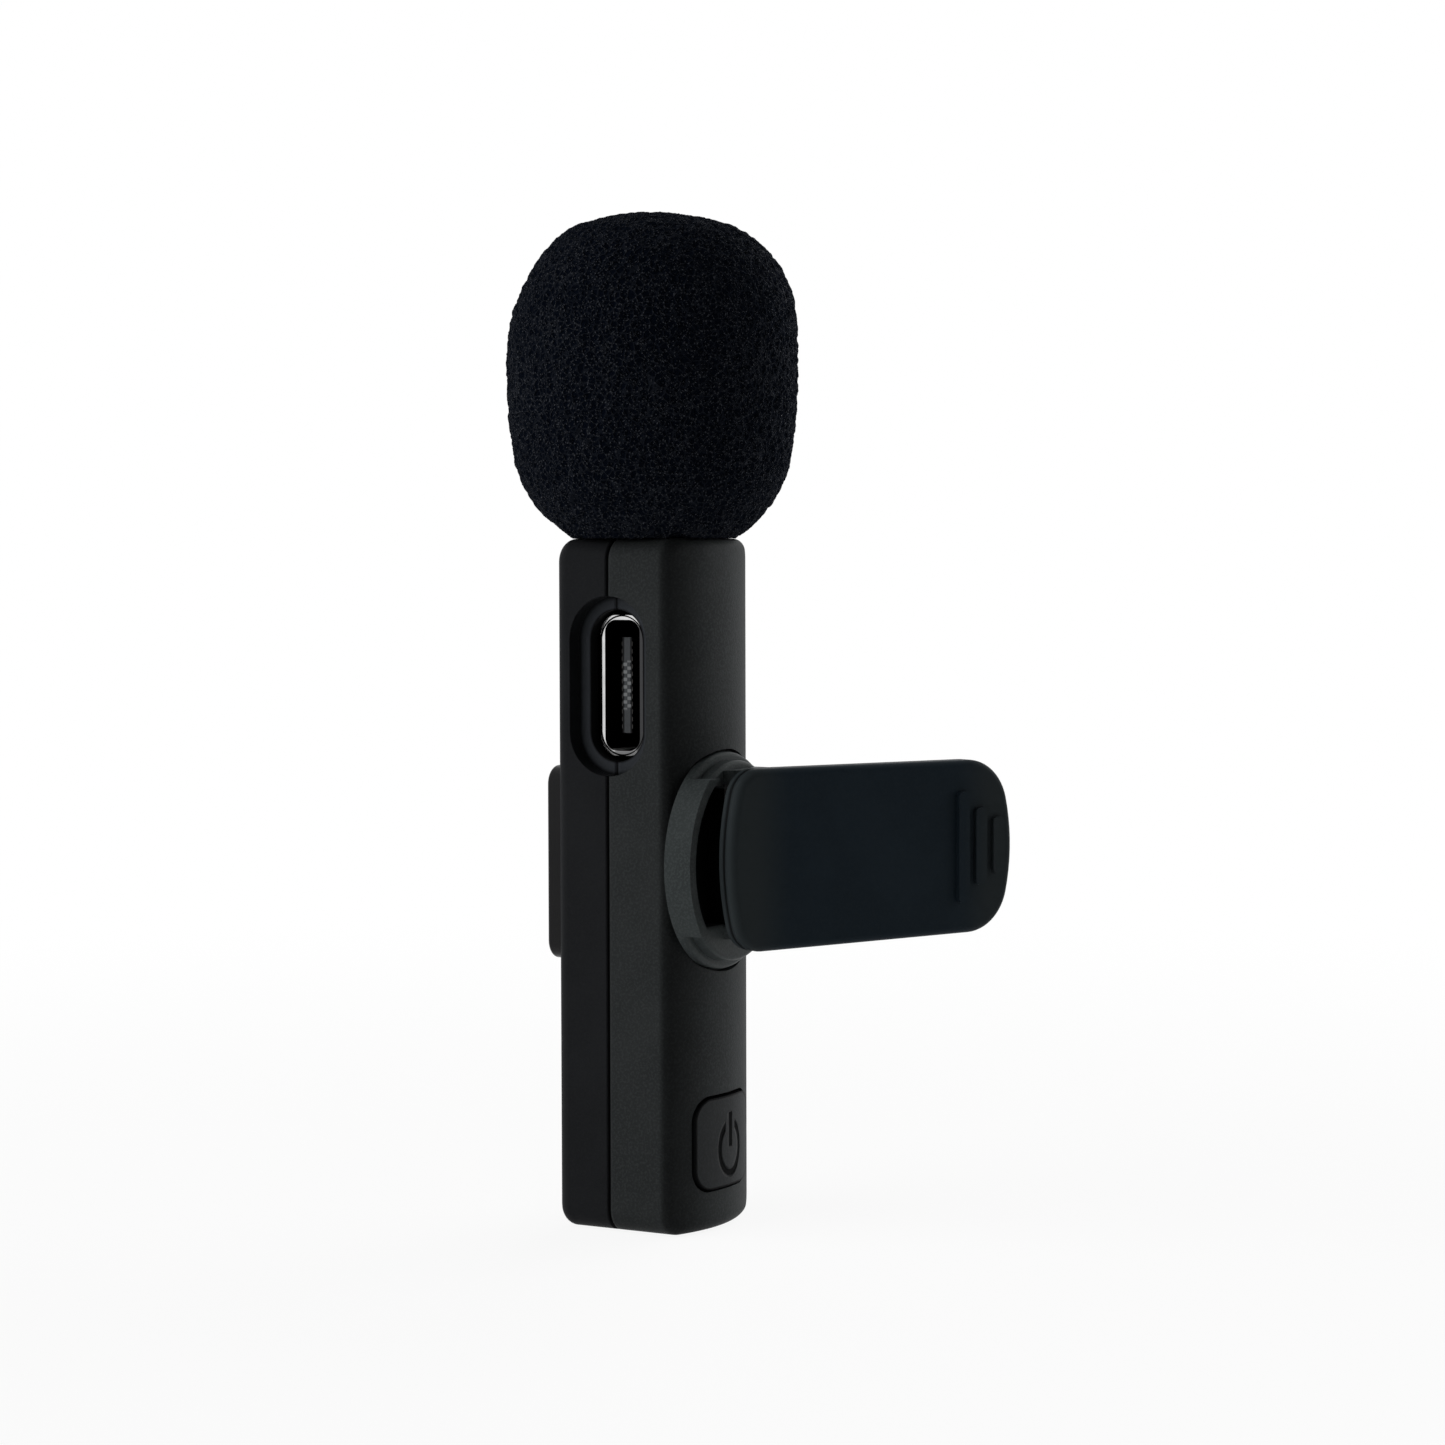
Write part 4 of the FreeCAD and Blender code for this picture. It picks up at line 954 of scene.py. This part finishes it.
def addFoam(s):
    outline, plain = foamOutline(s)
    middleX, middleY = s["axis"]
    spots, faces, rings = [], [], []
    for i, (radius, z) in enumerate(outline):
        count = 1 if i in (0, len(outline) - 1) else ringCount(s, radius)
        rings.append((len(spots), count))
        for j in range(count):
            angle = 2 * math.pi * j / count
            spots.append((middleX + radius * math.cos(angle), middleY + radius * math.sin(angle), z))
    for (a, na), (b, nb) in zip(rings, rings[1:]):
        faces += bridge(a, na, b, nb)
    spots = np.array(spots)
    top = s["arcs"][-1][0][1]
    way = spots - np.array([middleX, middleY, (s["foot"] + top) / 2])
    way /= np.linalg.norm(way, axis=1)[:, None]
    push = foamPush(spots, s)
    push[:rings[plain][0]] = 0  # the socket and the foot stay smooth
    spots = (spots + way * push[:, None]) * mm
    mesh = bpy.data.meshes.new("foamWindscreen")
    mesh.from_pydata(spots.tolist(), [], faces)
    mesh.update()
    mesh.polygons.foreach_set("use_smooth", [True] * len(mesh.polygons))
    ball = bpy.data.objects.new("foamWindscreen", mesh)
    bpy.context.scene.collection.objects.link(ball)
    ball.data.materials.append(looks["foamBlack"])
    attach(ball, "windscreen")
    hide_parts("foam_windscreen")


addFoam(foam)
print("foam made")

# floor, surroundings and lamps, in metres
studio = {
    "floorReach": 3.0,
    "floorSides": 64,
    "floorDrop": 0.00002,
    "floorColour": (0.9, 0.9, 0.9, 1),
    "floorGlow": 0.9,
    "glowFrom": 0.03,  # distance from the part at which the floor starts to go to plain white
    "glowFull": 0.2,
    "white": (1, 1, 1, 1),
    "world": 0.05,
    "card": 0.92,
    "cardAround": 47.0,  # degrees
    "cardHalf": 62.0,
    "cardSoft": 12.0,
    "aim": (0, 0.002, 0.032),  # what the lamps point at
    "lamps": {  # degrees round the part and above it, distance, width, watts, seen in metal
        "key": (-42, 22, 0.8, 1.0, 5.6, False),
        "rim": (180, 18, 0.8, 0.7, 4.6, False),
        "top": (60, 82, 0.9, 0.7, 0.9, True),
        "side": (150, 12, 0.9, 0.8, 4.8, False),
    },
}


def addFloor(s):
    mesh = bpy.data.meshes.new("floor")
    ring = [(s["floorReach"] * math.cos(t), s["floorReach"] * math.sin(t), -s["floorDrop"])
            for t in np.linspace(0, 2 * math.pi, s["floorSides"], endpoint=False)]
    mesh.from_pydata(ring, [], [list(range(s["floorSides"]))])
    floor = bpy.data.objects.new("floor", mesh)
    bpy.context.scene.collection.objects.link(floor)
    sh = Shader("floorPale")
    body = sh.node("BsdfDiffuse", None, {"Color": s["floorColour"]})
    glow = sh.node("Emission", None, {"Color": s["white"], "Strength": 1.0})
    away = sh.node("VectorMath", {"operation": "LENGTH"},
                   {0: sh.node("TexCoord", output="Object")}, "Value")
    amount = s["floorGlow"] + sh.fade(away, s["glowFrom"], s["glowFull"]) * (1 - s["floorGlow"])
    sh.node("OutputMaterial", None, {
        "Surface": sh.node("MixShader", None, {0: sh.seenWhite() * amount, 1: body, 2: glow})
    })
    floor.data.materials.append(sh.material)


def addWorld(s):
    world = bpy.data.worlds.new("studio")
    bpy.context.scene.world = world
    sh = Shader("studioWorld", world)
    # a dark card stands on the camera's side, for all but what is seen straight on
    around = math.radians(s["cardAround"])
    edges = [math.cos(math.radians(s["cardHalf"] + soft)) for soft in (s["cardSoft"], -s["cardSoft"])]
    facing = sh.along(sh.node("TexCoord", output="Generated"),
                      (math.cos(around), math.sin(around), 0.0))
    unseen = 1.0 - sh.node("LightPath", output="Is Camera Ray")
    bright = 1.0 - sh.fade(facing, *edges) * s["card"] * unseen
    lit = sh.node("Background", None, {"Color": s["white"], "Strength": bright * s["world"]})
    white = sh.node("Background", None, {"Color": s["white"], "Strength": bright})
    mix = sh.node("MixShader", None, {0: sh.seenWhite(), 1: lit, 2: white})
    sh.node("OutputWorld", None, {"Surface": mix})


def addLamps(s):
    for name, (around, above, distance, width, watts, seenInMetal) in s["lamps"].items():
        lamp = bpy.data.lights.new(name, "AREA")
        lamp.shape = "DISK"
        lamp.size = width
        lamp.energy = watts
        item = bpy.data.objects.new(name, lamp)
        turn, lift = math.radians(around), math.radians(above)
        way = Vector((math.cos(turn) * math.cos(lift), math.sin(turn) * math.cos(lift),
                      math.sin(lift)))
        item.location = Vector(s["aim"]) + way * distance
        item.rotation_euler = (-way).to_track_quat("-Z", "Y").to_euler()
        item.visible_glossy = seenInMetal
        bpy.context.scene.collection.objects.link(item)


addFloor(studio)
addWorld(studio)
addLamps(studio)
bpy.context.scene.view_settings.view_transform = "Standard"
print("studio lit")
